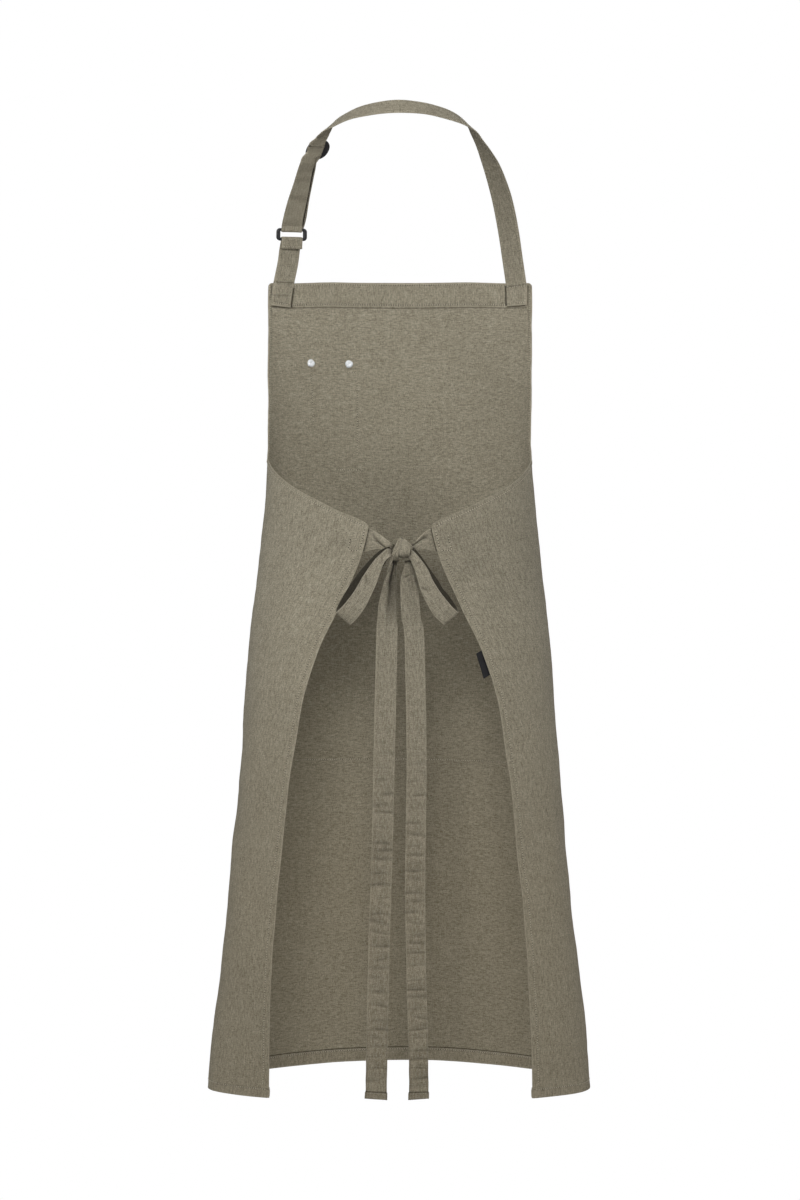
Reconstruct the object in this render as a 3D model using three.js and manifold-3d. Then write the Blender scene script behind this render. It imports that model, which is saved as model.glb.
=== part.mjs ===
// Bib apron in its worn form: one wrapped cloth body, a neck strap with slider and ring,
// waist ties in a bow at the back, two rivets and a side tab.
// Millimetres, +Z up. +Y is the front (bib) side, -Y the wearer's back, +X the wearer's right.
// The origin is the inner face of the neck strap at the nape, where the apron hangs.
import * as THREE from 'three';
import { mergeVertices } from 'three/addons/utils/BufferGeometryUtils.js';
import Module from 'manifold-3d';

const wasm = await Module();
wasm.setup();

// ---- driving dimensions ----------------------------------------------------
const WALL = 1.2;            // cloth wall of the body
const STRAP_T = 1.2;         // thickness of straps and ties
const STRAP_W = 24;          // neck strap and ring strap width
const TIE_W = 23;            // waist tie width
const GAP = 0.35;            // clearance between pieces
const SEWN_SAG = 0.7;        // a flat strap end bridges the curve of the bib by this much
const FLAT_HALF_W = 375;     // half of the flat skirt width
const SIDE_Y = 57.4;         // the side line lies this far in front of the nape
const TOP_Z = -173.1;        // top edge of the bib
const CORNER_Z = -453.5;     // upper corner of each back panel
const TIE_SEAM_H = 27;       // height of the edge that the tie is sewn into
const HEM_Z = -1065.7;       // lower hem
const HEM_RISE = 4.3;        // the hem's centre front hangs this much higher
const BIB_CROWN = 2.6;       // the bib's top edge stands this much higher along its middle
const BIB_DROP = 3.2;        // and falls by this much towards its corners
const FLANK = { p: -252, z: -948, across: 46, down: 66, inward: 4.2 };   // the left side hangs a little closer here

const RING = { length: 35.6, height: 14, bar: 3, end: 4.6, thick: 3, round: 4.2, inner: 1.4, edge: 1.0 };
const SLIDER = { length: 31.9, height: 24, thick: 2.4, bar: 3.2, slot: 21.8, slotAt: 0.3, slotRound: 8, round: 11.9, aside: 3.95 };
const KNOT = { x: 2.6, y: -56.6, z: -477.2, rx: 9, ry: 9, rz: 11.5 };
const RIVET = { head: 4.5, post: 1.4, hole: 1.9, dome: 1.3 };
const LABEL = { thick: 1.0, out: 7, under: 7, top: -583.9, bottom: -609.4, slant: 0.42, flare: 0.26 };

// ---- small helpers -----------------------------------------------------------
const V = (x, y, z) => new THREE.Vector3(x, y, z);
const table = (columns, rows) => rows.map((r) => Object.fromEntries(columns.split(' ').map((c, i) => [c, r[i]])));
const clamp01 = (t) => Math.min(1, Math.max(0, t));
const smooth = (t) => { const c = clamp01(t); return c * c * (3 - 2 * c); };
const range = (from, to, n) => Array.from({ length: n + 1 }, (_, i) => from + ((to - from) * i) / n);

// Shape-preserving cubic through a table's two columns.
function curve(rows, xName, yName) {
  const r = [...rows].sort((a, b) => a[xName] - b[xName]);
  const x = r.map((q) => q[xName]), y = r.map((q) => q[yName]);
  const h = x.slice(1).map((q, i) => q - x[i]);
  const d = h.map((q, i) => (y[i + 1] - y[i]) / q);
  const m = x.map((_, i) => {
    if (i === 0) return d[0];
    if (i === x.length - 1) return d[i - 1];
    if (d[i - 1] * d[i] <= 0) return 0;
    const w1 = 2 * h[i] + h[i - 1], w2 = h[i] + 2 * h[i - 1];
    return (w1 + w2) / (w1 / d[i - 1] + w2 / d[i]);
  });
  return (v) => {
    const q = Math.min(x[x.length - 1], Math.max(x[0], v));
    let k = 0;
    while (k < h.length - 1 && q > x[k + 1]) k += 1;
    const t = (q - x[k]) / h[k];
    return (2 * t ** 3 - 3 * t ** 2 + 1) * y[k] + (t ** 3 - 2 * t ** 2 + t) * h[k] * m[k]
      + (-2 * t ** 3 + 3 * t ** 2) * y[k + 1] + (t ** 3 - t ** 2) * h[k] * m[k + 1];
  };
}

// ---- body: worn cross-sections and the flat cut ------------------------------
// Each level is an oval round the wearer: half width, depth in front of and behind the side line.
const SECTIONS = table('z half front back', [
  [-173.1, 212.0, 95.0, 100.0],
  [-231.1, 172.0, 99.0, 100.0],
  [-291.1, 153.0, 103.0, 100.0],
  [-331.1, 147.6, 105.5, 100.0],
  [-375.1, 145.2, 108.0, 100.0],
  [-421.1, 148.4, 110.0, 101.0],
  [-476.1, 153.6, 112.2, 103.2],
  [-539.6, 161.0, 118.6, 117.0],
  [-581.1, 165.2, 122.8, 133.2],
  [-646.1, 170.2, 127.6, 148.3],
  [-707.1, 175.2, 131.4, 148.6],
  [-791.1, 182.5, 134.6, 142.3],
  [-909.1, 193.5, 137.2, 127.9],
  [-995.1, 202.0, 136.6, 111.2],
  [-1065.7, 209.2, 135.0, 93.0],
]);
// Half width of the flat cut at each level: bib, armhole curve, skirt.
const CUT = table('z half', [
  [-173.1, 151.6],
  [-221.1, 156.4],
  [-271.1, 166.2],
  [-321.1, 179.4],
  [-359.1, 190.5],
  [-371.1, 200.5],
  [-383.1, 224.0],
  [-406.1, 269.0],
  [-433.1, 331.0],
  [-453.5, 374.5],
  [-461.1, FLAT_HALF_W],
  [-1065.7, FLAT_HALF_W],
]);
// Main folds of the hanging cloth: place along the flat cut, vertical reach, breadth, and height of the ridge outward.
const FOLDS = table('p top bottom breadth ridge', [
  [-300, -560, -1200, 34, 3.0],
  [-232, -640, -1200, 30, -2.6],
  [-120, -620, -1200, 46, -3.2],
  [40, -600, -1200, 50, 2.4],
  [150, -640, -1200, 42, -2.6],
  [236, -560, -1200, 30, -2.8],
  [312, -600, -1200, 34, 2.6],
  [-60, -180, -420, 60, -2.0],
  [60, -180, -420, 60, 1.6],
]);
const half = curve(SECTIONS, 'z', 'half');
const front = curve(SECTIONS, 'z', 'front');
const back = curve(SECTIONS, 'z', 'back');
const cutHalf = curve(CUT, 'z', 'half');

const OVAL_STEPS = 160;
const ovals = new Map();
function oval(z) {
  const key = z.toFixed(3);
  if (ovals.has(key)) return ovals.get(key);
  const a = half(z), bf = front(z), bb = back(z);
  const pts = range(0, Math.PI, OVAL_STEPS).map((t) => [a * Math.sin(t), (t <= Math.PI / 2 ? bf : bb) * Math.cos(t)]);
  const arc = [0];
  for (let i = 1; i < pts.length; i += 1) arc.push(arc[i - 1] + Math.hypot(pts[i][0] - pts[i - 1][0], pts[i][1] - pts[i - 1][1]));
  ovals.set(key, { pts, arc });
  return ovals.get(key);
}
// A point of the body's mid surface, p along the flat cut from the centre front, z its level.
function bodyPoint(p, z) {
  const { pts, arc } = oval(z);
  const q = Math.abs(p);
  let i = 1;
  while (i < arc.length - 1 && arc[i] < q) i += 1;
  const t = (q - arc[i - 1]) / (arc[i] - arc[i - 1]);
  const x = pts[i - 1][0] + (pts[i][0] - pts[i - 1][0]) * t;
  const y = pts[i - 1][1] + (pts[i][1] - pts[i - 1][1]) * t;
  let out = 0;
  for (const f of FOLDS) {
    const reach = smooth((f.top - z) / 140) * smooth((z - f.bottom) / 80);
    out += f.ridge * reach * Math.exp(-(((p - f.p) / f.breadth) ** 2));
  }
  out -= FLANK.inward * Math.exp(-(((p - FLANK.p) / FLANK.across) ** 2) - ((z - FLANK.z) / FLANK.down) ** 2);
  const nx = pts[i][1] - pts[i - 1][1], ny = pts[i][0] - pts[i - 1][0];
  const nl = Math.hypot(nx, ny);
  const hemRise = HEM_RISE * Math.exp(-((p / 165) ** 2)) * smooth((-831 - z) / 234.7);
  const crown = (BIB_CROWN - BIB_DROP * smooth((q - 70) / 75)) * smooth((z + 300) / 127);
  const side = Math.sign(p) || 1;
  return V(side * (x - (nx / nl) * out), SIDE_Y + y + (ny / nl) * out, z + hemRise + crown);
}
function bodyNormal(p, z) {
  const dp = bodyPoint(p + 1, z).sub(bodyPoint(p - 1, z));
  const dz = bodyPoint(p, z + 1).sub(bodyPoint(p, z - 1));
  return dp.cross(dz).normalize().negate();
}
const onBody = (p, z, out) => bodyPoint(p, z).addScaledVector(bodyNormal(p, z), out);

// ---- solids from grids and routes ---------------------------------------------
function meshGeometry(points, faces) {
  const g = new THREE.BufferGeometry();
  g.setAttribute('position', new THREE.Float32BufferAttribute(points.flatMap((p) => [p.x, p.y, p.z]), 3));
  g.setIndex(faces.flat());
  g.computeVertexNormals();
  return g;
}
// A closed wall between two grids of points (rows of equal length): outer grid, inner grid, and the rim round them.
function wallBetween(outer, inner) {
  const rows = outer.length, cols = outer[0].length, n = rows * cols;
  const points = [...outer.flat(), ...inner.flat()];
  const faces = [];
  const quad = (a, b, c, d) => faces.push([a, b, c], [a, c, d]);
  const id = (r, c) => r * cols + c;
  for (let r = 0; r < rows - 1; r += 1) {
    for (let c = 0; c < cols - 1; c += 1) {
      quad(id(r, c), id(r, c + 1), id(r + 1, c + 1), id(r + 1, c));
      quad(n + id(r, c), n + id(r + 1, c), n + id(r + 1, c + 1), n + id(r, c + 1));
    }
  }
  const loop = [];
  for (let c = 0; c < cols - 1; c += 1) loop.push(id(0, c));
  for (let r = 0; r < rows - 1; r += 1) loop.push(id(r, cols - 1));
  for (let c = cols - 1; c > 0; c -= 1) loop.push(id(rows - 1, c));
  for (let r = rows - 1; r > 0; r -= 1) loop.push(id(r, 0));
  loop.forEach((a, i) => { const b = loop[(i + 1) % loop.length]; quad(b, a, n + a, n + b); });
  const g = meshGeometry(points, faces);
  return volume(g) < 0 ? meshGeometry(points, faces.map(([a, b, c]) => [a, c, b])) : g;
}
function volume(g) {
  const p = g.getAttribute('position'), ix = g.getIndex();
  const a = V(), b = V(), c = V();
  let sum = 0;
  for (let i = 0; i < ix.count; i += 3) {
    a.fromBufferAttribute(p, ix.getX(i)); b.fromBufferAttribute(p, ix.getX(i + 1)); c.fromBufferAttribute(p, ix.getX(i + 2));
    sum += a.dot(b.cross(c)) / 6;
  }
  return sum;
}
// A Catmull-Rom route through rows holding a place, a width direction and a width.
function route(rows, steps) {
  const at = (i) => rows[Math.min(rows.length - 1, Math.max(0, i))];
  const mix = (f, i, t) => {
    const b = f(at(i)), c = f(at(i + 1));
    const a = i > 0 ? f(at(i - 1)) : 2 * b - c;
    const d = i + 2 < rows.length ? f(at(i + 2)) : 2 * c - b;
    return 0.5 * (2 * b + (c - a) * t + (2 * a - 5 * b + 4 * c - d) * t * t + (3 * b - a - 3 * c + d) * t ** 3);
  };
  const out = [];
  for (let i = 0; i < rows.length - 1; i += 1) {
    for (let k = 0; k < steps; k += 1) out.push(sample(mix, i, k / steps));
  }
  out.push(sample(mix, rows.length - 2, 1));
  return out;
}
const sample = (mix, i, t) => ({
  at: V(mix((r) => r.at.x, i, t), mix((r) => r.at.y, i, t), mix((r) => r.at.z, i, t)),
  across: V(mix((r) => r.across.x, i, t), mix((r) => r.across.y, i, t), mix((r) => r.across.z, i, t)).normalize(),
  width: mix((r) => r.width, i, t),
});
// A flat band swept along a route: rectangular section, mitred at each step.
function band(stations, thick) {
  const ring = stations.map((s, i) => {
    const a = stations[Math.max(0, i - 1)].at, b = stations[Math.min(stations.length - 1, i + 1)].at;
    const along = b.clone().sub(a).normalize();
    const across = s.across;
    const out = across.clone().cross(along).normalize();
    let miter = 1;
    if (i > 0 && i < stations.length - 1) {
      const u = s.at.clone().sub(a).normalize(), w = b.clone().sub(s.at).normalize();
      miter = 1 / Math.max(0.6, Math.sqrt((1 + u.dot(w)) / 2));
    }
    const e = (k, o) => s.at.clone().addScaledVector(across, (k * s.width) / 2).addScaledVector(out, (o * thick * miter) / 2);
    return { out: [e(-1, 1), e(1, 1)], inn: [e(-1, -1), e(1, -1)] };
  });
  return wallBetween(ring.map((r) => r.out), ring.map((r) => r.inn));
}
const stop = (r) => ({ at: V(r.x, r.y, r.z), across: V(r.wx, r.wy, r.wz).normalize(), width: r.w });

function toSolid(geometry) {
  const g = geometry.clone();
  for (const name of Object.keys(g.attributes)) if (name !== 'position') g.deleteAttribute(name);
  const m = mergeVertices(g, 1e-4);
  return new wasm.Manifold(new wasm.Mesh({
    numProp: 3,
    vertProperties: new Float32Array(m.getAttribute('position').array),
    triVerts: new Uint32Array(m.getIndex().array),
  }));
}
function fromSolid(solid) {
  const m = solid.getMesh();
  const g = new THREE.BufferGeometry();
  g.setAttribute('position', new THREE.Float32BufferAttribute(m.vertProperties, 3));
  g.setIndex(Array.from(m.triVerts));
  g.computeVertexNormals();
  return g;
}

// ---- materials -----------------------------------------------------------------
const cloth = () => new THREE.MeshStandardMaterial({ color: 0x87806f, roughness: 0.95, metalness: 0 });
const black = () => new THREE.MeshStandardMaterial({ color: 0x17181a, roughness: 0.45, metalness: 0 });
const tabBlack = () => new THREE.MeshStandardMaterial({ color: 0x16161a, roughness: 0.85, metalness: 0 });
const pale = () => new THREE.MeshStandardMaterial({ color: 0xe2e6e8, roughness: 0.3, metalness: 0.8 });

const apron = new THREE.Group();
const add = (name, geometry, material) => {
  const m = new THREE.Mesh(geometry, material);
  m.name = name;
  apron.add(m);
  return m;
};
// A frame at a place: axes along (down the strap), across (its width) and out (away from the wearer).
function frameAt(at, along, across) {
  const t = along.clone().normalize();
  const w = across.clone().addScaledVector(t, -across.dot(t)).normalize();
  const n = w.clone().cross(t);
  return {
    at, t, w, n,
    point: (s, c, o) => at.clone().addScaledVector(t, s).addScaledVector(w, c).addScaledVector(n, o),
    place: (mesh) => {
      mesh.quaternion.setFromRotationMatrix(new THREE.Matrix4().makeBasis(w, t, n));
      mesh.position.copy(at);
      return mesh;
    },
  };
}

// ---- apron body ----------------------------------------------------------------
const LEVELS = [
  ...range(TOP_Z, -359.1, 9).slice(0, -1),
  ...range(-359.1, CORNER_Z, 8).slice(0, -1),
  ...range(CORNER_Z, -560, 4).slice(0, -1),
  ...range(-560, HEM_Z, 13),
];
const COLUMNS = range(-1, 1, 40);
const bodyOuter = LEVELS.map((z) => COLUMNS.map((k) => onBody(k * cutHalf(z), z, WALL / 2)));
const bodyInner = LEVELS.map((z) => COLUMNS.map((k) => onBody(k * cutHalf(z), z, -WALL / 2)));
let bodySolid = toSolid(wallBetween(bodyOuter, bodyInner));

// ---- rivets through the bib ------------------------------------------------------
const RIVETS = table('name p z', [
  ['rivet_left', -104.7, -263.7],
  ['rivet_right', -58.9, -263.5],
]);
const rivetMeshes = RIVETS.map((r) => {
  const at = bodyPoint(r.p, r.z), n = bodyNormal(r.p, r.z);
  const turn = new THREE.Quaternion().setFromUnitVectors(V(0, 1, 0), n);
  const seat = WALL / 2 + GAP;
  const dome = (sign) => range(0, 4, 4).map((i) => {
    const a = (i / 4) * (Math.PI / 2);
    return new THREE.Vector2(RIVET.head * Math.sin(a), sign * (seat + 0.35 + RIVET.dome * Math.cos(a)));
  });
  const profile = [
    ...dome(-1),
    new THREE.Vector2(RIVET.head, -seat),
    new THREE.Vector2(RIVET.post, -seat),
    new THREE.Vector2(RIVET.post, seat),
    new THREE.Vector2(RIVET.head, seat),
    ...dome(1).reverse(),
  ];
  const bore = new THREE.CylinderGeometry(RIVET.hole, RIVET.hole, 12, 12).applyQuaternion(turn).translate(at.x, at.y, at.z);
  bodySolid = bodySolid.subtract(toSolid(bore));
  return { name: r.name, at, turn, geometry: new THREE.LatheGeometry(profile, 12) };
});
add('apron_body', fromSolid(bodySolid), cloth());
for (const r of rivetMeshes) {
  const m = add(r.name, r.geometry, pale());
  m.position.copy(r.at);
  m.quaternion.copy(r.turn);
}

// ---- neck strap ------------------------------------------------------------------
// Place and width direction of the strap, from the right corner of the bib up and round the nape to the slider.
const STRAP_RIGHT = table('x y z wx wy wz w', [
  [127.0, 127.6, -147.6, -0.94, 0.33, -0.09, STRAP_W],
  [121.7, 120.4, -114.9, -0.95, 0.31, -0.08, STRAP_W],
  [113.5, 104.4, -80.3, -0.91, 0.41, -0.05, STRAP_W],
  [102.7, 85.4, -51.8, -0.80, 0.59, 0.09, STRAP_W],
  [93.0, 69.4, -33.9, -0.64, 0.72, 0.27, STRAP_W],
  [85.0, 58.4, -22.2, -0.52, 0.76, 0.40, STRAP_W],
  [77.4, 48.4, -12.4, -0.48, 0.67, 0.56, STRAP_W],
  [61.0, 28.4, -5.9, -0.43, 0.61, 0.67, STRAP_W],
  [43.3, 14.4, -2.2, -0.31, 0.67, 0.68, STRAP_W],
  [23.6, 4.4, 0.1, -0.17, 0.70, 0.69, STRAP_W],
  [0.0, -0.56, 0.55, 0.0, 0.70, 0.71, STRAP_W],
  [-23.1, 4.4, 0.1, 0.17, 0.70, 0.69, STRAP_W],
  [-43.3, 14.4, -2.2, 0.31, 0.67, 0.68, STRAP_W],
  [-60.4, 28.4, -5.9, 0.45, 0.59, 0.67, STRAP_W],
  [-75.2, 47.4, -10.2, 0.50, 0.64, 0.58, STRAP_W],
  [-82.5, 52.9, -18.3, 0.61, 0.68, 0.33, 20.7],
]);
// From the slider down to the ring (the outer layer of the two).
const STRAP_LOWER = table('x y z wx wy wz w', [
  [-103.5, 83.4, -55.9, 0.72, 0.68, 0.10, STRAP_W],
  [-111.1, 101.4, -82.0, 0.81, 0.58, 0.06, STRAP_W],
  [-115.9, 113.6, -101.4, 0.91, 0.40, 0.05, STRAP_W],
]);
// The layer that comes back up from the ring lies on the wearer's side of it, a little to the outside.
const RETURN = table('inward aside w', [[2.7, 5.05, 24.0], [2.6, 5.1, 24.8], [2.5, 5.45, 21.2]]);

const slider = frameAt(V(-93.8, 67.0, -33.8), V(-0.39, 0.49, -0.775), V(0.72, 0.69, 0.07));
const ring = frameAt(V(-121.9, 121.4, -119.9), V(-0.02, 0.13, -0.98), V(0.95, 0.30, 0.045));
const barPitch = RING.height - RING.bar;
const wrap = RING.bar / 2 + GAP + STRAP_T / 2;
const weave = SLIDER.thick / 2 + GAP + STRAP_T / 2;

const at3 = (frame, s, c, o, w = STRAP_W) => ({ at: frame.point(s, c, o), across: frame.w.clone(), width: w });

// A strap end sewn on the bib's inner face: it follows the cloth, leaning by the given slope.
const sewnEnd = (side, rows) => rows.map((r) => {
  const across = bodyPoint(side * r.p - 12, r.z).sub(bodyPoint(side * r.p + 12, r.z)).normalize();
  return {
    at: onBody(side * r.p, r.z, -(WALL / 2 + GAP + SEWN_SAG + STRAP_T / 2)),
    across: across.addScaledVector(V(0, 0, 1), r.lean).multiplyScalar(side).normalize(),
    width: STRAP_W,
  };
});
const rightEnd = sewnEnd(1, table('p z lean', [[136.0, -199.4, -0.05], [135.2, -188.0, -0.07], [134.2, -176.0, -0.1]]));

// over the slider's upper bar, outside its middle bar, inside its lower bar; the cloth bunches where it runs through the slots
const WEAVE = table('s o c w', [
  [-15, -1, 0.45, 16.9], [-11.5, -1, -1.5, 20.2], [-8.6, -1, -2.45, 22.7], [-6.6, -1, -2.5, 22.8], [-5.6, -1, -2.2, 22], [-5, -0.98, 0.75, 19.6],
  [-4.2, -0.3, 0.75, 19.6], [-3.4, 0.45, 0.75, 19.6], [-2.6, 0.85, 0.75, 19.6], [-1.6, 1, 0.75, 19.6], [1.6, 1, 0.75, 19.6], [2.6, 0.85, 0.75, 19.6],
  [3.4, 0.45, 0.75, 19.6], [4.2, -0.3, 0.75, 19.6], [5, -0.98, 0.75, 19.6], [6, -1, 0.2, 20], [8.6, -1, -0.4, 20.4], [11.5, -1, -1.2, 20.4], [15, -1, -2.2, 20.2],
]);
const weaveStops = WEAVE.map((r) => at3(slider, r.s, r.c, r.o * weave, r.w));
const upper = route([...rightEnd, ...STRAP_RIGHT.map(stop), weaveStops[0]], 3);
const lowerRows = [weaveStops[weaveStops.length - 1], ...STRAP_LOWER.map(stop), at3(ring, -barPitch / 2 - 3, 3, wrap)];
const lower = route(lowerRows, 3);
const ringTurn = range(0, Math.PI, 8).map((a) => at3(ring, -barPitch / 2 + wrap * Math.sin(a), 0.2 + 2.1 * Math.max(Math.cos(a), 0) ** 10 + 0.8 * Math.min(Math.cos(a), 0), wrap * Math.cos(a)));
const returnRows = [
  at3(ring, -barPitch / 2 - 3, -0.6, -wrap),
  ...[...STRAP_LOWER].reverse().map((r, i) => {
    const s = stop(r), next = lowerRows[3 - i].at, prev = lowerRows[Math.max(0, 2 - i)].at;
    const f = frameAt(s.at, next.clone().sub(prev), s.across);
    return { at: f.point(0, -RETURN[i].aside, -RETURN[i].inward), across: f.w, width: RETURN[i].w };
  }),
  at3(slider, 15, -7.05, -weave - STRAP_T - GAP - 0.6, 20),
];
const back2 = route(returnRows, 3);
const endStops = [
  at3(slider, 11, -7.2, -weave - STRAP_T - GAP - 0.2, 20.2), at3(slider, 8, -6.95, -weave - STRAP_T - GAP, 19.7),
  at3(slider, 5, -2.8, -weave - 0.9, 22.5), at3(slider, 2.4, -1.05, -weave - 0.2, 21.9), at3(slider, 0.2, -1.4, -weave - 0.05, 22.8),
  at3(slider, -2.6, -2.4, -weave - 0.35, 23), at3(slider, -4.6, -2.85, -weave - 1.05, 23.1),
];
const strapStations = [
  ...upper.slice(0, -1), ...weaveStops, ...lower.slice(1), ...ringTurn, ...back2, ...endStops,
];
add('neck_strap', band(strapStations, STRAP_T), cloth());

// ---- slider and ring ---------------------------------------------------------------
function roundedRect(line, w, h, r, x = 0, q = r) {
  const l = x - w / 2, t = x + w / 2, u = -h / 2, o = h / 2;
  line.moveTo(l + q, u);
  line.lineTo(t - r, u).absarc(t - r, u + r, r, -Math.PI / 2, 0, false);
  line.lineTo(t, o - r).absarc(t - r, o - r, r, 0, Math.PI / 2, false);
  line.lineTo(l + q, o).absarc(l + q, o - q, q, Math.PI / 2, Math.PI, false);
  line.lineTo(l, u + q).absarc(l + q, u + q, q, Math.PI, 1.5 * Math.PI, false);
  return line;
}
const sliderShape = roundedRect(new THREE.Shape(), SLIDER.length, SLIDER.height, SLIDER.round, SLIDER.aside);
// Each slot is straight along the bars and rounded at its outer corner, beside the slider's rounded end.
for (const s of [-1, 1]) {
  const near = (s * SLIDER.bar) / 2, far = s * (SLIDER.height / 2 - SLIDER.bar);
  const x0 = SLIDER.slotAt - SLIDER.slot / 2, x1 = SLIDER.slotAt + SLIDER.slot / 2;
  const r = SLIDER.slotRound, y0 = far - s * r;
  const corner = range(Math.asin((s * (near - y0)) / r), Math.PI / 2, 6)
    .map((a) => new THREE.Vector2(x0 + r - r * Math.cos(a), y0 + s * r * Math.sin(a)));
  const line = [...corner, new THREE.Vector2(x1, far), new THREE.Vector2(x1, near)];
  sliderShape.holes.push(new THREE.Path(s > 0 ? line : line.reverse()));
}
const sliderGeometry = new THREE.ExtrudeGeometry(sliderShape, { depth: SLIDER.thick, bevelEnabled: false, curveSegments: 6 });
sliderGeometry.translate(0, 0, -SLIDER.thick / 2);
slider.place(add('slider_buckle', sliderGeometry, black()));

// The ring is a moulded loop with rounded edges.
const ringShape = roundedRect(new THREE.Shape(), RING.length, RING.height, RING.round);
ringShape.holes.push(roundedRect(new THREE.Path(), RING.length - 2 * RING.end, RING.height - 2 * RING.bar, RING.inner));
const ringGeometry = new THREE.ExtrudeGeometry(ringShape, {
  depth: RING.thick - 2 * RING.edge, bevelEnabled: true, bevelThickness: RING.edge, bevelSize: RING.edge,
  bevelOffset: -RING.edge, bevelSegments: 2, curveSegments: 4,
});
ringGeometry.translate(0, 0, RING.edge - RING.thick / 2);
ring.place(add('strap_ring', ringGeometry, black()));

// ---- ring strap: from the bib's left corner up, round the ring's lower bar, its end sewn back on itself ----
const leftEnd = sewnEnd(-1, table('p z lean', [[139.6, -200.6, 0.08], [137.4, -188.6, 0.13], [134.8, -176.0, 0.18]]));
const RING_STRAP = table('x y z wx wy wz w', [
  [-126.6, 128.6, -152.0, 0.94, 0.32, -0.12, STRAP_W],
  [-124.6, 126.2, -138.0, 0.95, 0.31, -0.05, STRAP_W],
]);
const ringStrapRoute = route([...leftEnd, ...RING_STRAP.map(stop), at3(ring, barPitch / 2 + 3, 0, wrap)], 3);
const lowerTurn = range(0, Math.PI, 8).map((a) => at3(ring, barPitch / 2 - wrap * Math.sin(a), 0, wrap * Math.cos(a)));
const foldBack = [at3(ring, barPitch / 2 + 3, 0, -wrap), at3(ring, barPitch / 2 + 8.5, 0, -wrap + 0.5)];
add('ring_strap', band([...ringStrapRoute, ...lowerTurn, ...foldBack], STRAP_T), cloth());

// ---- waist ties ----------------------------------------------------------------------
// Free stretch of each tie: distance from the centre, share of the knot's sideways offset, and how far it gathers.
const TIE_FREE = table('off share y z lean w', [
  [24.0, 0.3, -46.2, -469.4, 0.26, 16.0],
  [16.3, 0.8, -50.2, -473.4, 0.42, 10.4],
  [9.9, 1.0, -52.0, -476.6, 0.48, 8.4],
]);
for (const [side, name] of [[-1, 'tie_left'], [1, 'tie_right']]) {
  const rows = [
    ...[360, 368, 377].map((p) => ({
      at: onBody(side * p, CORNER_Z - TIE_SEAM_H / 2, -(WALL / 2 + GAP + SEWN_SAG + STRAP_T / 2)),
      across: V(-0.05 * side, 0, 1).normalize(),
      width: TIE_W + 1.5,
    })),
    ...TIE_FREE.map((r) => ({
      at: V(side * r.off + KNOT.x * r.share, r.y, r.z),
      across: V(-side * r.lean, 0, 1).normalize(),
      width: r.w,
    })),
  ];
  add(name, band(route(rows, 3), STRAP_T), cloth());
}

// ---- knot ----------------------------------------------------------------------------
const knot = add('tie_knot', new THREE.SphereGeometry(1, 18, 12).scale(KNOT.rx, KNOT.ry, KNOT.rz), cloth());
knot.position.set(KNOT.x, KNOT.y, KNOT.z);

// ---- bow loops: out from the knot, over the fold at the tip and back behind --------------
const LOOP_LEFT = table('x y z wx wy wz w', [
  [-6.8, -62.4, -482.6, 0.25, -0.25, -0.93, 7],
  [-12, -66.2, -481.4, 0.24, -0.25, -0.94, 9.5],
  [-18.4, -69, -487.3, 0.34, -0.25, -0.91, 10.8],
  [-24.6, -70.6, -496.9, 0.58, -0.22, -0.78, 14],
  [-32.2, -71.8, -511.1, 0.8, -0.18, -0.57, 16.6],
  [-41, -72, -527.9, 0.84, -0.12, -0.53, 18.6],
  [-50.1, -71.2, -541.1, 0.77, -0.06, -0.63, 20],
  [-57.4, -69.2, -548.6, 0.74, -0.02, -0.67, 20],
  [-59.9, -66.2, -550.4, 0.74, 0, -0.67, 20],
  [-58.9, -63.4, -545.6, 0.76, 0, -0.65, 20],
  [-50.9, -62.6, -531, 0.82, 0.08, -0.57, 20],
  [-43.6, -62.8, -519.2, 0.8, 0.08, -0.6, 19.5],
  [-36.2, -63.2, -507.9, 0.75, 0.05, -0.66, 18.5],
  [-26.8, -63.2, -495.8, 0.7, 0, -0.71, 17],
  [-17.6, -61.5, -484.2, 0.6, 0, -0.8, 13],
  [-9, -58.8, -478.4, 0.5, 0, -0.87, 9],
]);
const LOOP_RIGHT = table('x y z wx wy wz w', [
  [10.2, -62.6, -484.6, 0.25, 0.25, 0.93, 7],
  [11.9, -66.2, -483.6, 0.24, 0.25, 0.94, 10],
  [18.1, -69.2, -492.6, 0.58, 0.25, 0.78, 11.8],
  [23.6, -71, -503.5, 0.78, 0.2, 0.6, 14.6],
  [27.8, -71.8, -514.5, 0.86, 0.18, 0.5, 16],
  [34.4, -72, -527.1, 0.89, 0.12, 0.44, 18.2],
  [43.1, -71.2, -540.3, 0.81, 0.06, 0.58, 20.4],
  [51.4, -69.2, -548.8, 0.76, 0.02, 0.65, 20],
  [53.8, -66.2, -550.8, 0.75, 0, 0.66, 20],
  [52.4, -63.4, -545.8, 0.77, 0, 0.64, 20],
  [44.6, -62.6, -533.9, 0.8, -0.08, 0.6, 20],
  [36.8, -62.8, -523.8, 0.84, -0.08, 0.54, 19.5],
  [32, -63.2, -514.6, 0.82, -0.05, 0.57, 18.5],
  [25.4, -63.2, -504.4, 0.79, 0, 0.61, 17],
  [18.9, -61.5, -491, 0.7, 0, 0.7, 13],
  [13.6, -58.8, -480.8, 0.6, 0, 0.8, 9],
]);
add('bow_loop_left', band(route(LOOP_LEFT.map(stop), 2), STRAP_T), cloth());
add('bow_loop_right', band(route(LOOP_RIGHT.map(stop), 2), STRAP_T), cloth());

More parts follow.
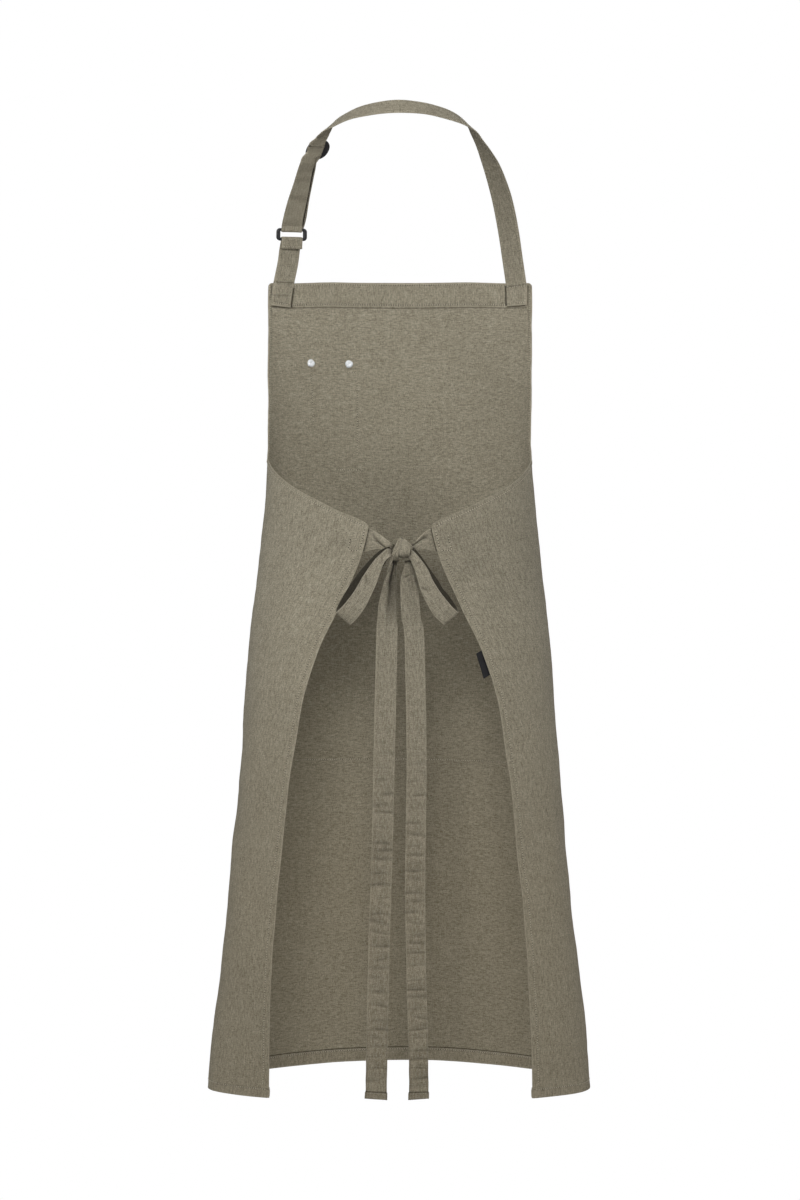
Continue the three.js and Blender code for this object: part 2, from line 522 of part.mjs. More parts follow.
// ---- hanging tails ---------------------------------------------------------------------
const TAIL_LEFT = table('x y z wx wy wz w', [
  [-6.4, -56.8, -489.4, 0.97, 0, -0.24, 6.6],
  [-7.2, -57.2, -494.1, 0.97, 0, -0.22, 8],
  [-9, -57.6, -504.7, 0.98, 0, -0.18, 11],
  [-11.3, -57.9, -520.5, 0.99, 0, -0.12, 15.4],
  [-13.1, -58, -536.3, 1, 0, -0.08, 18.7],
  [-13.7, -58.2, -552.2, 1, 0, -0.05, 20.6],
  [-13.9, -58.4, -573.2, 1, 0, -0.03, 22.4],
  [-16.8, -58.6, -699.6, 1, 0, -0.02, 22.4],
  [-18.8, -58.6, -794.5, 1, 0, -0.03, 22.2],
  [-21.9, -58.6, -889.3, 1, 0, -0.03, 22.2],
  [-24.3, -58.6, -999.9, 1, 0, -0.02, 22.4],
  [-25.2, -58.6, -1049.6, 1, 0, -0.06, 22.4],
  [-25.2, -58.6, -1051, 1, 0, -0.07, 23.8],
  [-25.4, -58.6, -1057.6, 1, 0, -0.08, 24],
]);
const TAIL_RIGHT = table('x y z wx wy wz w', [
  [7.8, -56.8, -489.4, 0.97, 0, 0.22, 6.4],
  [8.6, -57.2, -494.1, 0.97, 0, 0.2, 7.6],
  [8.5, -57.5, -501.5, 0.98, 0, 0.16, 12.6],
  [8.8, -57.8, -510, 0.99, 0, 0.12, 16.4],
  [9.9, -58, -520.5, 1, 0, 0.08, 19],
  [10.8, -58, -536.3, 1, 0, 0.06, 19.9],
  [12.1, -58.2, -552.2, 1, 0, 0.05, 20.2],
  [15.2, -58.4, -573.2, 1, 0, 0.03, 20.8],
  [17.4, -58.6, -699.6, 1, 0, 0, 21],
  [16, -58.6, -826.1, 1, 0, 0, 21],
  [17.1, -58.6, -920.9, 1, 0, 0.02, 20.8],
  [19.5, -58.6, -1015.7, 1, 0, 0.02, 20.4],
  [19.7, -58.6, -1049.6, 1, 0, 0.02, 20.6],
  [19.7, -58.6, -1051, 1, 0, 0.03, 22],
  [19.6, -58.6, -1057.6, 1, 0, 0.07, 22.2],
]);
const tail = (rows) => band([...route(rows.slice(0, -2).map(stop), 2), ...rows.slice(-2).map(stop)], STRAP_T);
add('tie_tail_left', tail(TAIL_LEFT), cloth());
add('tie_tail_right', tail(TAIL_RIGHT), cloth());

// ---- side tab, sewn under the right back panel's edge --------------------------------------
const tabInset = WALL / 2 + GAP + SEWN_SAG + LABEL.thick / 2;
const tabRows = range(LABEL.top, LABEL.bottom, 4), tabCols = range(FLAT_HALF_W - LABEL.under, FLAT_HALF_W + LABEL.out, 3);
const tabWide = (z, p) => (p > FLAT_HALF_W ? 1 + (LABEL.flare * (LABEL.top - z)) / (LABEL.top - LABEL.bottom) : 1);
const tabPoint = (z, p, out) => {
  const q = FLAT_HALF_W + (p - FLAT_HALF_W) * tabWide(z, p);
  return onBody(q, z - LABEL.slant * (q - FLAT_HALF_W + 2), out);
};
add('label_tab', wallBetween(
  tabRows.map((z) => tabCols.map((p) => tabPoint(z, p, -tabInset + LABEL.thick / 2))),
  tabRows.map((z) => tabCols.map((p) => tabPoint(z, p, -tabInset - LABEL.thick / 2))),
), tabBlack());

export default apron;
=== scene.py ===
import math

import bpy
import numpy as np
from mathutils import Matrix, Vector


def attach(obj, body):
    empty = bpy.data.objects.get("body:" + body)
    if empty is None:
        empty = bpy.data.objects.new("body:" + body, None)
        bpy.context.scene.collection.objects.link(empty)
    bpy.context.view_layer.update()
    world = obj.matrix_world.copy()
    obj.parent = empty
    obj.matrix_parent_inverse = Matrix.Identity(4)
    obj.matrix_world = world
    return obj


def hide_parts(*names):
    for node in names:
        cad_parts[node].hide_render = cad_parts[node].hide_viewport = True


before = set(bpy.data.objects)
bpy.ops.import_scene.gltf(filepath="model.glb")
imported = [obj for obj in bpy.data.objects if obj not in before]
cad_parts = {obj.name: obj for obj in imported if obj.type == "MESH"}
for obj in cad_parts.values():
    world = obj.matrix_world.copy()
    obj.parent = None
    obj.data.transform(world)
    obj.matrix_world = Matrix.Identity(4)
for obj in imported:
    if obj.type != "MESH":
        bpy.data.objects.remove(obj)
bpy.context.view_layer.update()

MM = 0.001
scene = bpy.context.scene
rng = np.random.default_rng(20)

# ------------------------------------------------------------------ camera
# Level, behind the wearer, at the height of the waist.
CAM_AT = (0.0, -2742.6, -531.06)
cam_data = bpy.data.cameras.new("camera")
cam_data.sensor_width = 36.0
cam_data.sensor_fit = "AUTO"
cam_data.lens = 2545.45 / 1200.0 * 36.0
cam_data.clip_start = 0.05
cam_data.clip_end = 200.0
cam = bpy.data.objects.new("camera", cam_data)
scene.collection.objects.link(cam)
cam.location = [c * MM for c in CAM_AT]
cam.rotation_euler = (math.radians(90), 0, 0)
scene.camera = cam

# ------------------------------------------------------------------ numbers
CLOTH = 0.8            # thickness of one ply of the body
STRAP_T = 1.2
STRAP_W = 24.0
TIE_W = 23.0
GAP = 0.35
SEWN_SAG = 0.7
WALL = 1.2
FLAT_HALF_W = 375.0
SIDE_Y = 57.4
TOP_Z = -173.1
CORNER_Z = -453.5
TIE_SEAM_H = 27.0
HEM_Z = -1065.7
RING = dict(length=35.6, height=14.0, bar=3.0, end=4.6, thick=3.0, round=4.2)
SLIDER = dict(length=31.9, height=24.0, thick=2.4, bar=3.2, slot=21.8, round=11.9, slot_round=8.0, aside=3.95, slot_at=0.3)
KNOT = dict(x=2.6, y=-56.6, z=-477.2)

SECTIONS = np.array([
    (-173.1, 212.0, 95.0, 100.0), (-231.1, 172.0, 99.0, 100.0), (-291.1, 153.0, 103.0, 100.0),
    (-331.1, 147.6, 105.5, 100.0), (-375.1, 145.2, 108.0, 100.0), (-421.1, 148.4, 110.0, 101.0),
    (-476.1, 153.6, 112.2, 103.2), (-539.6, 161.0, 118.6, 117.0), (-581.1, 165.2, 122.8, 133.2),
    (-646.1, 170.2, 127.6, 148.3), (-707.1, 175.2, 131.4, 148.6), (-791.1, 182.5, 134.6, 142.3),
    (-909.1, 193.5, 137.2, 127.9), (-995.1, 202.0, 136.6, 111.2), (-1065.7, 209.2, 135.0, 93.0)])
CUT = np.array([
    (-173.1, 151.6), (-221.1, 156.4), (-271.1, 166.2), (-321.1, 179.4), (-359.1, 190.5), (-371.1, 200.5),
    (-383.1, 224.0), (-406.1, 269.0), (-433.1, 331.0), (-453.5, 374.5), (-461.1, 375.0), (-1065.7, 375.0)])
FOLDS = [
    (-300, -560, -1200, 34, 3.0), (-232, -640, -1200, 30, -2.6), (-120, -620, -1200, 46, -3.2),
    (40, -600, -1200, 50, 2.4), (150, -640, -1200, 42, -2.6), (236, -560, -1200, 30, -2.8),
    (312, -600, -1200, 34, 2.6), (-60, -180, -420, 60, -2.0), (60, -180, -420, 60, 1.6)]


# ------------------------------------------------------------------ small helpers
def smooth(t):
    c = np.clip(t, 0.0, 1.0)
    return c * c * (3 - 2 * c)


def unit(v):
    return v / np.maximum(np.linalg.norm(v, axis=-1, keepdims=True), 1e-12)


def curve(xs, ys):
    """Shape-preserving cubic through the points, as the CAD uses."""
    o = np.argsort(xs)
    x, y = np.asarray(xs, float)[o], np.asarray(ys, float)[o]
    h = np.diff(x)
    d = np.diff(y) / h
    m = np.zeros_like(x)
    m[0], m[-1] = d[0], d[-1]
    for i in range(1, len(x) - 1):
        if d[i - 1] * d[i] > 0:
            w1, w2 = 2 * h[i] + h[i - 1], h[i] + 2 * h[i - 1]
            m[i] = (w1 + w2) / (w1 / d[i - 1] + w2 / d[i])

    def f(v):
        q = np.clip(np.asarray(v, float), x[0], x[-1])
        k = np.clip(np.searchsorted(x, q, side="right") - 1, 0, len(h) - 1)
        t = (q - x[k]) / h[k]
        return ((2 * t**3 - 3 * t**2 + 1) * y[k] + (t**3 - 2 * t**2 + t) * h[k] * m[k]
                + (-2 * t**3 + 3 * t**2) * y[k + 1] + (t**3 - t**2) * h[k] * m[k + 1])
    return f


def waves(seed, count, low, high, amount, stretch=1.0):
    """A smooth random field: a sum of plane waves with wavelengths from low to high mm."""
    g = np.random.default_rng(seed)
    lam = np.exp(g.uniform(math.log(low), math.log(high), count))
    ang = g.uniform(0, math.pi, count)
    ph = g.uniform(0, 2 * math.pi, count)
    kx, ky = 2 * math.pi / lam * np.cos(ang), 2 * math.pi / lam * np.sin(ang) / stretch
    a = amount * math.sqrt(2.0 / count)

    def f(u, v):
        u, v = np.asarray(u, float), np.asarray(v, float)
        out = np.zeros(np.broadcast(u, v).shape)
        for i in range(count):
            out += np.sin(kx[i] * u + ky[i] * v + ph[i])
        return a * out
    return f


half, front, back = (curve(SECTIONS[:, 0], SECTIONS[:, i]) for i in (1, 2, 3))
cut_half = curve(CUT[:, 0], CUT[:, 1])

# ------------------------------------------------------------------ the body's mid surface
STEP = 2.0
Z_GRID = np.arange(-1074.0, -166.0 + STEP, STEP)
P_GRID = np.arange(0.0, 410.0 + STEP, STEP)
_t = np.linspace(0, math.pi, 901)
BX, BY = np.zeros((len(Z_GRID), len(P_GRID))), np.zeros((len(Z_GRID), len(P_GRID)))
for _j, _z in enumerate(Z_GRID):
    _x = half(_z) * np.sin(_t)
    _y = np.where(_t <= math.pi / 2, front(_z), back(_z)) * np.cos(_t)
    _a = np.concatenate([[0], np.cumsum(np.hypot(np.diff(_x), np.diff(_y)))])
    BX[_j], BY[_j] = np.interp(P_GRID, _a, _x), np.interp(P_GRID, _a, _y)
BNX, BNY = -np.gradient(BY, STEP, axis=1), np.gradient(BX, STEP, axis=1)


def pick(T, p, z):
    fp = np.clip(p / STEP, 0, len(P_GRID) - 1.001)
    fz = np.clip((z - Z_GRID[0]) / STEP, 0, len(Z_GRID) - 1.001)
    i, j = fp.astype(int), fz.astype(int)
    u, v = fp - i, fz - j
    return (T[j, i] * (1 - u) + T[j, i + 1] * u) * (1 - v) + (T[j + 1, i] * (1 - u) + T[j + 1, i + 1] * u) * v


soft_big = waves(3, 22, 90, 220, 0.9, 1.8)
soft_mid = waves(4, 26, 34, 80, 0.32, 1.5)
soft_fine = waves(5, 30, 13, 26, 0.07)


def drape(p, z):
    """The hanging cloth's own unevenness: broad swells, pull lines at the tie seams, creases at the sides."""
    out = soft_big(p, z) * (0.45 + 0.55 * smooth((-560 - z) / 200)) + soft_mid(p, z) + soft_fine(p, z)
    q = np.abs(p)
    right = p > 0
    # pulls that fan out from each tie seam into the back panel
    for (p1, z1, w, a, on) in ((262, -478, 5.5, 1.0, 0), (285, -536, 6.5, -1.3, 0), (322, -585, 6.0, 0.9, 0),
                               (268, -470, 5.0, -0.8, 1), (282, -522, 7.0, -1.9, 1), (318, -575, 6.0, 1.0, 1)):
        ax, az = 372.0, -467.0
        dx, dz = p1 - ax, z1 - az
        L = math.hypot(dx, dz)
        s = ((q - ax) * dx + (z - az) * dz) / L
        d = ((q - ax) * -dz + (z - az) * dx) / L
        wide = w + 0.10 * np.clip(s, 0, None)
        line = a * np.exp(-(d / wide) ** 2) * smooth((s + 2) / 16) * smooth((L - s) / (0.75 * L))
        out = out + np.where(right == bool(on), line, 0)
    # creases where the skirt turns at the wearer's sides
    for (pc, slope, z0, z1, w, a) in ((243, 0.05, -488, -600, 6, -1.5), (251, 0.03, -500, -640, 5, 1.1),
                                      (-240, 0.04, -540, -660, 7, -1.3), (250, 0.0, -890, -1030, 7, 1.2)):
        centre = pc + slope * (z0 - z)
        out = out + a * np.exp(-((p - centre) / w) ** 2) * smooth((z0 - z) / 30) * smooth((z - z1) / 50)
    out = out - 4.2 * np.exp(-(((p + 252) / 46) ** 2 + ((z + 948) / 66) ** 2))
    # a slight dip round each rivet and along the stitched lines on the bib
    for pr, zr in ((-104.7, -263.7), (-58.9, -263.5)):
        out = out + 0.5 * np.exp(-(((p - pr) / 13) ** 2 + ((z - zr) / 13) ** 2))
    return out


def surface(p, z, out=0.0):
    p, z = np.broadcast_arrays(np.asarray(p, float), np.asarray(z, float))
    q = np.abs(p)
    x, y, nx, ny = pick(BX, q, z), pick(BY, q, z), pick(BNX, q, z), pick(BNY, q, z)
    n = np.hypot(nx, ny)
    lift = drape(p, z) + out
    for (fp, top, bottom, breadth, ridge) in FOLDS:
        lift = lift + ridge * smooth((top - z) / 140) * smooth((z - bottom) / 80) * np.exp(-((p - fp) / breadth) ** 2)
    rise = 4.3 * np.exp(-((p / 165) ** 2)) * smooth((-831 - z) / 234.7)
    crown = (2.6 - 3.2 * smooth((q - 70) / 75)) * smooth((z + 300) / 127)
    side = np.where(p < 0, -1.0, 1.0)
    return np.stack([side * (x + nx / n * lift), SIDE_Y + y + ny / n * lift, z + rise + crown], -1)


def surface_normal(p, z, out=0.0):
    e = 1.5
    dp = surface(p + e, z, out) - surface(p - e, z, out)
    dz = surface(p, z + e, out) - surface(p, z - e, out)
    return -unit(np.cross(dp, dz))


def cut_edge(z):
    """The finished edge: the cut, with softly rounded corners and a hem end that stands out a little."""
    z = np.asarray(z, float)
    w = cut_half(z)
    d = np.clip(TOP_Z - z, 0, 4.5)
    w = w - (4.5 - np.sqrt(np.maximum(4.5**2 - (4.5 - d) ** 2, 0)))
    w = w + 1.3 * smooth((HEM_Z + 10.6 - z) / 1.6) * (z < HEM_Z + 12)
    b = np.clip(z - HEM_Z, 0, 2.6)
    w = w - np.where(z < HEM_Z + 2.6, 2.6 - np.sqrt(np.maximum(2.6**2 - (2.6 - b) ** 2, 0)), 0)
    return w


def hem_height(p):
    return 14.6 - 4.4 * smooth((np.abs(p) - 130) / 150)


# ------------------------------------------------------------------ meshes from arrays
def make(name, verts, faces, material, attrs=None, smooth_faces=True):
    me = bpy.data.meshes.new(name)
    me.from_pydata((np.asarray(verts, float) * MM).tolist(), [], [list(map(int, f)) for f in faces])
    for key, (kind, data) in (attrs or {}).items():
        a = me.attributes.new(key, kind, "POINT")
        a.data.foreach_set("vector" if kind == "FLOAT_VECTOR" else "value", np.asarray(data, np.float32).ravel())
    me.materials.append(material)
    me.polygons.foreach_set("use_smooth", np.full(len(me.polygons), smooth_faces))
    me.update()
    ob = bpy.data.objects.new(name, me)
    scene.collection.objects.link(ob)
    return ob


def grid_faces(nr, nc, base=0, flip=False, wrap=False):
    r, c = np.meshgrid(np.arange(nr - 1), np.arange(nc if wrap else nc - 1), indexing="ij")
    a = base + r * nc + c
    b = base + r * nc + (c + 1) % nc
    f = np.stack([a, b, b + nc, a + nc], -1).reshape(-1, 4)
    return f[:, ::-1] if flip else f


def rim_faces(nr, nc, n):
    loop = ([c for c in range(nc - 1)] + [r * nc + nc - 1 for r in range(nr - 1)]
            + [(nr - 1) * nc + c for c in range(nc - 1, 0, -1)] + [r * nc for r in range(nr - 1, 0, -1)])
    loop = np.array(loop)
    nxt = np.roll(loop, -1)
    return np.stack([nxt, loop, loop + n, nxt + n], -1)


def closed(outer, inner):
    nr, nc, _ = outer.shape
    n = nr * nc
    verts = np.concatenate([outer.reshape(-1, 3), inner.reshape(-1, 3)])
    faces = np.concatenate([grid_faces(nr, nc), grid_faces(nr, nc, n, True), rim_faces(nr, nc, n)])
    return verts, faces


# ------------------------------------------------------------------ materials
def srgb(r, g, b):
    def lin(c):
        c /= 255.0
        return c / 12.92 if c <= 0.04045 else ((c + 0.055) / 1.055) ** 2.4
    return (lin(r), lin(g), lin(b), 1.0)


class Nodes:
    def __init__(self, name):
        self.mat = bpy.data.materials.new(name)
        self.mat.use_nodes = True
        self.t = self.mat.node_tree
        self.bsdf = self.t.nodes["Principled BSDF"]

    def new(self, kind, **props):
        n = self.t.nodes.new(kind)
        for k, v in props.items():
            setattr(n, k, v)
        return n

    def put(self, socket, value):
        if hasattr(value, "is_output") or isinstance(value, bpy.types.NodeSocket):
            self.t.links.new(value, socket)
        else:
            socket.default_value = value

    def math(self, op, a, b=0.0, clamp=False):
        n = self.new("ShaderNodeMath", operation=op, use_clamp=clamp)
        self.put(n.inputs[0], a)
        self.put(n.inputs[1], b)
        return n.outputs[0]

    def noise(self, vector, scale, detail=2.0, rough=0.55, seed=(0, 0, 0)):
        m = self.new("ShaderNodeMapping")
        self.put(m.inputs["Vector"], vector)
        m.inputs["Scale"].default_value = scale
        m.inputs["Location"].default_value = seed
        n = self.new("ShaderNodeTexNoise", noise_dimensions="3D")
        self.t.links.new(m.outputs[0], n.inputs["Vector"])
        n.inputs["Scale"].default_value = 1.0
        n.inputs["Detail"].default_value = detail
        n.inputs["Roughness"].default_value = rough
        return n.outputs[0]

    def ramp(self, fac, stops):
        n = self.new("ShaderNodeValToRGB")
        self.put(n.inputs[0], fac)
        e = n.color_ramp.elements
        while len(e) < len(stops):
            e.new(0.5)
        for i, (pos, col) in enumerate(stops):
            e[i].position = pos
            e[i].color = col
        return n.outputs[0]

    def mix(self, fac, a, b):
        n = self.new("ShaderNodeMix", data_type="RGBA")
        self.put(n.inputs[0], fac)
        self.put(n.inputs[6], a)
        self.put(n.inputs[7], b)
        return n.outputs[2]

    def bump(self, height, strength, distance, normal=None):
        n = self.new("ShaderNodeBump")
        n.inputs["Strength"].default_value = strength
        n.inputs["Distance"].default_value = distance
        self.t.links.new(height, n.inputs["Height"])
        if normal is not None:
            self.t.links.new(normal, n.inputs["Normal"])
        return n.outputs[0]

    def set(self, **values):
        for k, v in values.items():
            self.put(self.bsdf.inputs[k.replace("_", " ")], v)


def cloth_material(name, dark, mid, light, contrast=1.0):
    """Plain-weave melange: short light and dark flecks both ways, grain, soft blotches, paler edges (wear and painted
    highlights), painted light and painted shade from attributes, and painted warm shade below the waist.
    """
    m = Nodes(name)
    at = m.new("ShaderNodeAttribute", attribute_name="weave").outputs["Vector"]
    wear_and_painted_light = m.new("ShaderNodeAttribute", attribute_name="wear_and_painted_light").outputs["Fac"]
    shade = m.new("ShaderNodeAttribute", attribute_name="shade").outputs["Fac"]
    yarn = m.noise(at, (260, 1150, 900), 1.0, 0.5)
    slub = m.noise(at, (40, 950, 900), 1.0, 0.5, (3.1, 7.7, 1.3))
    weft = m.noise(at, (1150, 210, 900), 1.0, 0.5, (9.2, 1.4, 4.4))
    grain = m.noise(at, (1700, 1700, 900), 1.0, 0.6, (5.5, 2.6, 8.1))
    cloud = m.noise(at, (24, 15, 30), 3.0, 0.55, (1.7, 6.1, 2.2))
    wave_x = m.new("ShaderNodeTexWave", wave_type="BANDS", bands_direction="X", wave_profile="SIN")
    wave_y = m.new("ShaderNodeTexWave", wave_type="BANDS", bands_direction="Y", wave_profile="SIN")
    for w, sc in ((wave_x, 480.0), (wave_y, 440.0)):
        m.t.links.new(at, w.inputs["Vector"])
        w.inputs["Scale"].default_value = sc
        w.inputs["Distortion"].default_value = 1.2
        w.inputs["Detail"].default_value = 1.0
        w.inputs["Detail Scale"].default_value = 0.2
    knit = m.math("MULTIPLY", wave_x.outputs["Fac"], wave_y.outputs["Fac"])
    value = m.math("ADD", 0.5, m.math("MULTIPLY", m.math("SUBTRACT", yarn, 0.5), 0.58 * contrast))
    for src, k, zero in ((slub, 0.18, 0.5), (weft, 0.76, 0.5), (grain, 1.3, 0.5), (cloud, 0.08, 0.5), (knit, 0.34, 0.25)):
        value = m.math("ADD", value, m.math("MULTIPLY", m.math("SUBTRACT", src, zero), k * contrast))
    colour = m.ramp(value, [(0.14, dark), (0.5, mid), (0.86, light)])
    tint = m.noise(at, (34, 20, 30), 1.5, 0.5, (8.8, 3.3, 0.4))
    colour = m.mix(m.math("MULTIPLY", tint, 0.22), colour, m.mix(value, srgb(110, 103, 86), srgb(160, 154, 134)))
    place = m.new("ShaderNodeSeparateXYZ")
    m.t.links.new(m.new("ShaderNodeTexCoord").outputs["Object"], place.inputs[0])
    # painted warm shade: below the waist the colour is mixed towards a dark warm brown, more so lower down
    low = m.math("MINIMUM", m.math("MAXIMUM", m.math("MULTIPLY", m.math("SUBTRACT", -0.52, place.outputs["Z"]), 3.0), 0.0), 1.0)
    colour = m.mix(m.math("MULTIPLY", low, 0.15), colour, srgb(108, 86, 41))
    # paler edges and faces from wear_and_painted_light: wear, painted highlights along edges and folds, and painted
    # light on chosen faces
    colour = m.mix(m.math("MULTIPLY", wear_and_painted_light, 0.50), colour, srgb(178, 170, 150))
    # painted shade from the shade attribute
    colour = m.mix(shade, colour, srgb(34, 29, 21))
    height = m.math("ADD", m.math("MULTIPLY", knit, 0.40),
                    m.math("ADD", m.math("MULTIPLY", yarn, 0.6), m.math("MULTIPLY", grain, 0.7)))
    m.set(Base_Color=colour, Roughness=m.math("ADD", 0.84, m.math("MULTIPLY", grain, 0.14)),
          Normal=m.bump(height, 0.55, 0.0004))
    m.bsdf.inputs["Specular IOR Level"].default_value = 0.22
    m.bsdf.inputs["Sheen Weight"].default_value = 0.04
    m.bsdf.inputs["Sheen Roughness"].default_value = 0.6
    return m.mat


CLOTH_MAT = cloth_material("cloth", srgb(100, 93, 78), srgb(145, 138, 119), srgb(186, 179, 160), 1.0)
STRAP_MAT = cloth_material("strap_cloth", srgb(98, 92, 77), srgb(141, 134, 116), srgb(180, 173, 155), 0.95)


def thread_material():
    m = Nodes("thread")
    darkening = m.new("ShaderNodeAttribute", attribute_name="darkening").outputs["Fac"]
    at = m.new("ShaderNodeTexCoord").outputs["Object"]
    fuzz = m.noise(at, (2600, 2600, 2600), 2.0, 0.6)
    ply = m.mix(fuzz, srgb(158, 150, 130), srgb(204, 197, 178))
    # darkening paints the needle holes' shade and darkens some threads
    m.set(Base_Color=m.mix(darkening, ply, srgb(44, 39, 31)), Roughness=m.math("ADD", 0.7, m.math("MULTIPLY", fuzz, 0.2)),
          Normal=m.bump(fuzz, 0.5, 0.0001))
    m.bsdf.inputs["Specular IOR Level"].default_value = 0.3
    return m.mat


def black_material(name, dark, light, rough, ribs=0.0):
    m = Nodes(name)
    at = m.new("ShaderNodeTexCoord").outputs["Object"]
    n1 = m.noise(at, (700, 700, 700), 3.0, 0.6)
    n2 = m.noise(at, (90, 90, 90), 2.0, 0.5, (2, 5, 1))
    scuff = m.ramp(m.noise(at, (1500, 240, 900), 3.0, 0.65, (4, 4, 4)), [(0.60, (0, 0, 0, 1)), (0.74, (1, 1, 1, 1))])
    colour = m.mix(n2, dark, light)
    colour = m.mix(m.math("MULTIPLY", scuff, 0.25), colour, srgb(78, 78, 82))
    m.set(Base_Color=colour, Roughness=m.math("ADD", rough - 0.1, m.math("MULTIPLY", n1, 0.2)),
          Normal=m.bump(n1, 0.25, 0.0001))
    m.bsdf.inputs["Specular IOR Level"].default_value = 0.45
    return m.mat


def tab_material():
    m = Nodes("tab_weave")
    at = m.new("ShaderNodeAttribute", attribute_name="weave").outputs["Vector"]
    wave_x = m.new("ShaderNodeTexWave", wave_type="BANDS", bands_direction="X", wave_profile="SIN")
    wave_y = m.new("ShaderNodeTexWave", wave_type="BANDS", bands_direction="Y", wave_profile="SIN")
    for w, sc in ((wave_x, 640.0), (wave_y, 620.0)):
        m.t.links.new(at, w.inputs["Vector"])
        w.inputs["Scale"].default_value = sc
        w.inputs["Distortion"].default_value = 0.8
    knit = m.math("MULTIPLY", wave_x.outputs["Fac"], wave_y.outputs["Fac"])
    fuzz = m.noise(at, (1800, 1500, 900), 2.0, 0.6)
    value = m.math("ADD", m.math("MULTIPLY", knit, 0.5), m.math("MULTIPLY", fuzz, 0.5))
    m.set(Base_Color=m.mix(value, srgb(16, 16, 18), srgb(46, 45, 47)), Roughness=m.math("ADD", 0.7, m.math("MULTIPLY", fuzz, 0.2)),
          Normal=m.bump(value, 0.5, 0.0003))
    m.bsdf.inputs["Specular IOR Level"].default_value = 0.3
    return m.mat


def metal_material():
    m = Nodes("rivet_metal")
    at = m.new("ShaderNodeTexCoord").outputs["Object"]
    n1 = m.noise(at, (900, 900, 900), 3.0, 0.6)
    n2 = m.noise(at, (260, 260, 260), 2.0, 0.5, (3, 1, 2))
    colour = m.mix(n2, srgb(222, 226, 230), srgb(252, 253, 254))
    m.set(Base_Color=colour, Roughness=m.math("ADD", 0.42, m.math("MULTIPLY", n1, 0.25)), Normal=m.bump(n1, 0.45, 0.0002))
    m.bsdf.inputs["Metallic"].default_value = 0.18
    return m.mat


THREAD_MAT = thread_material()
BUCKLE_MAT = black_material("buckle_black", srgb(21, 21, 23), srgb(37, 37, 41), 0.5)
TAB_MAT = tab_material()
METAL_MAT = metal_material()


# ------------------------------------------------------------------ routes and ribbons
def mat3(t, w, n):
    return np.stack([w, t, n], 1)


class Place:
    """A frame on a strap: t down it, w across it, n away from the wearer."""
    def __init__(self, at, along, across):
        self.at = np.array(at, float)
        self.t = unit(np.array(along, float))
        a = np.array(across, float)
        self.w = unit(a - self.t * (a @ self.t))
        self.n = np.cross(self.w, self.t)

    def point(self, s, c, o):
        return self.at + self.t * s + self.w * c + self.n * o

    def stop(self, s, c, o, width=STRAP_W):
        return (self.point(s, c, o), self.w, width)


def stops(rows):
    return [(np.array(r[:3], float), unit(np.array(r[3:6], float)), float(r[6]) if len(r) > 6 else STRAP_W) for r in rows]


def route(rows, steps):
    A = np.array([np.concatenate([r[0], r[1], [r[2]]]) for r in rows])
    A = np.vstack([2 * A[0] - A[1], A, 2 * A[-1] - A[-2]])
    out = []
    for i in range(1, len(A) - 2):
        a, b, c, d = A[i - 1], A[i], A[i + 1], A[i + 2]
        for k in range(steps):
            t = k / steps
            out.append(0.5 * (2 * b + (c - a) * t + (2 * a - 5 * b + 4 * c - d) * t * t + (3 * b - a - 3 * c + d) * t**3))
    out.append(A[-2])
    return [(r[:3], unit(r[3:6]), r[6]) for r in np.array(out)]


def even(rows, pitch):
    """The same route with stations an even distance apart."""
    P = np.array([r[0] for r in rows])
    W = np.array([r[1] for r in rows])
    D = np.array([r[2] for r in rows])
    keep = np.concatenate([[True], np.linalg.norm(np.diff(P, axis=0), axis=1) > 1e-4])
    P, W, D = P[keep], W[keep], D[keep]
    s = np.concatenate([[0], np.cumsum(np.linalg.norm(np.diff(P, axis=0), axis=1))])
    u = np.linspace(0, s[-1], max(2, int(round(s[-1] / pitch)) + 1))
    f = lambda X: np.stack([np.interp(u, s, X[:, i]) for i in range(X.shape[1])], 1)
    return u, f(P), unit(f(W)), np.interp(u, s, D)


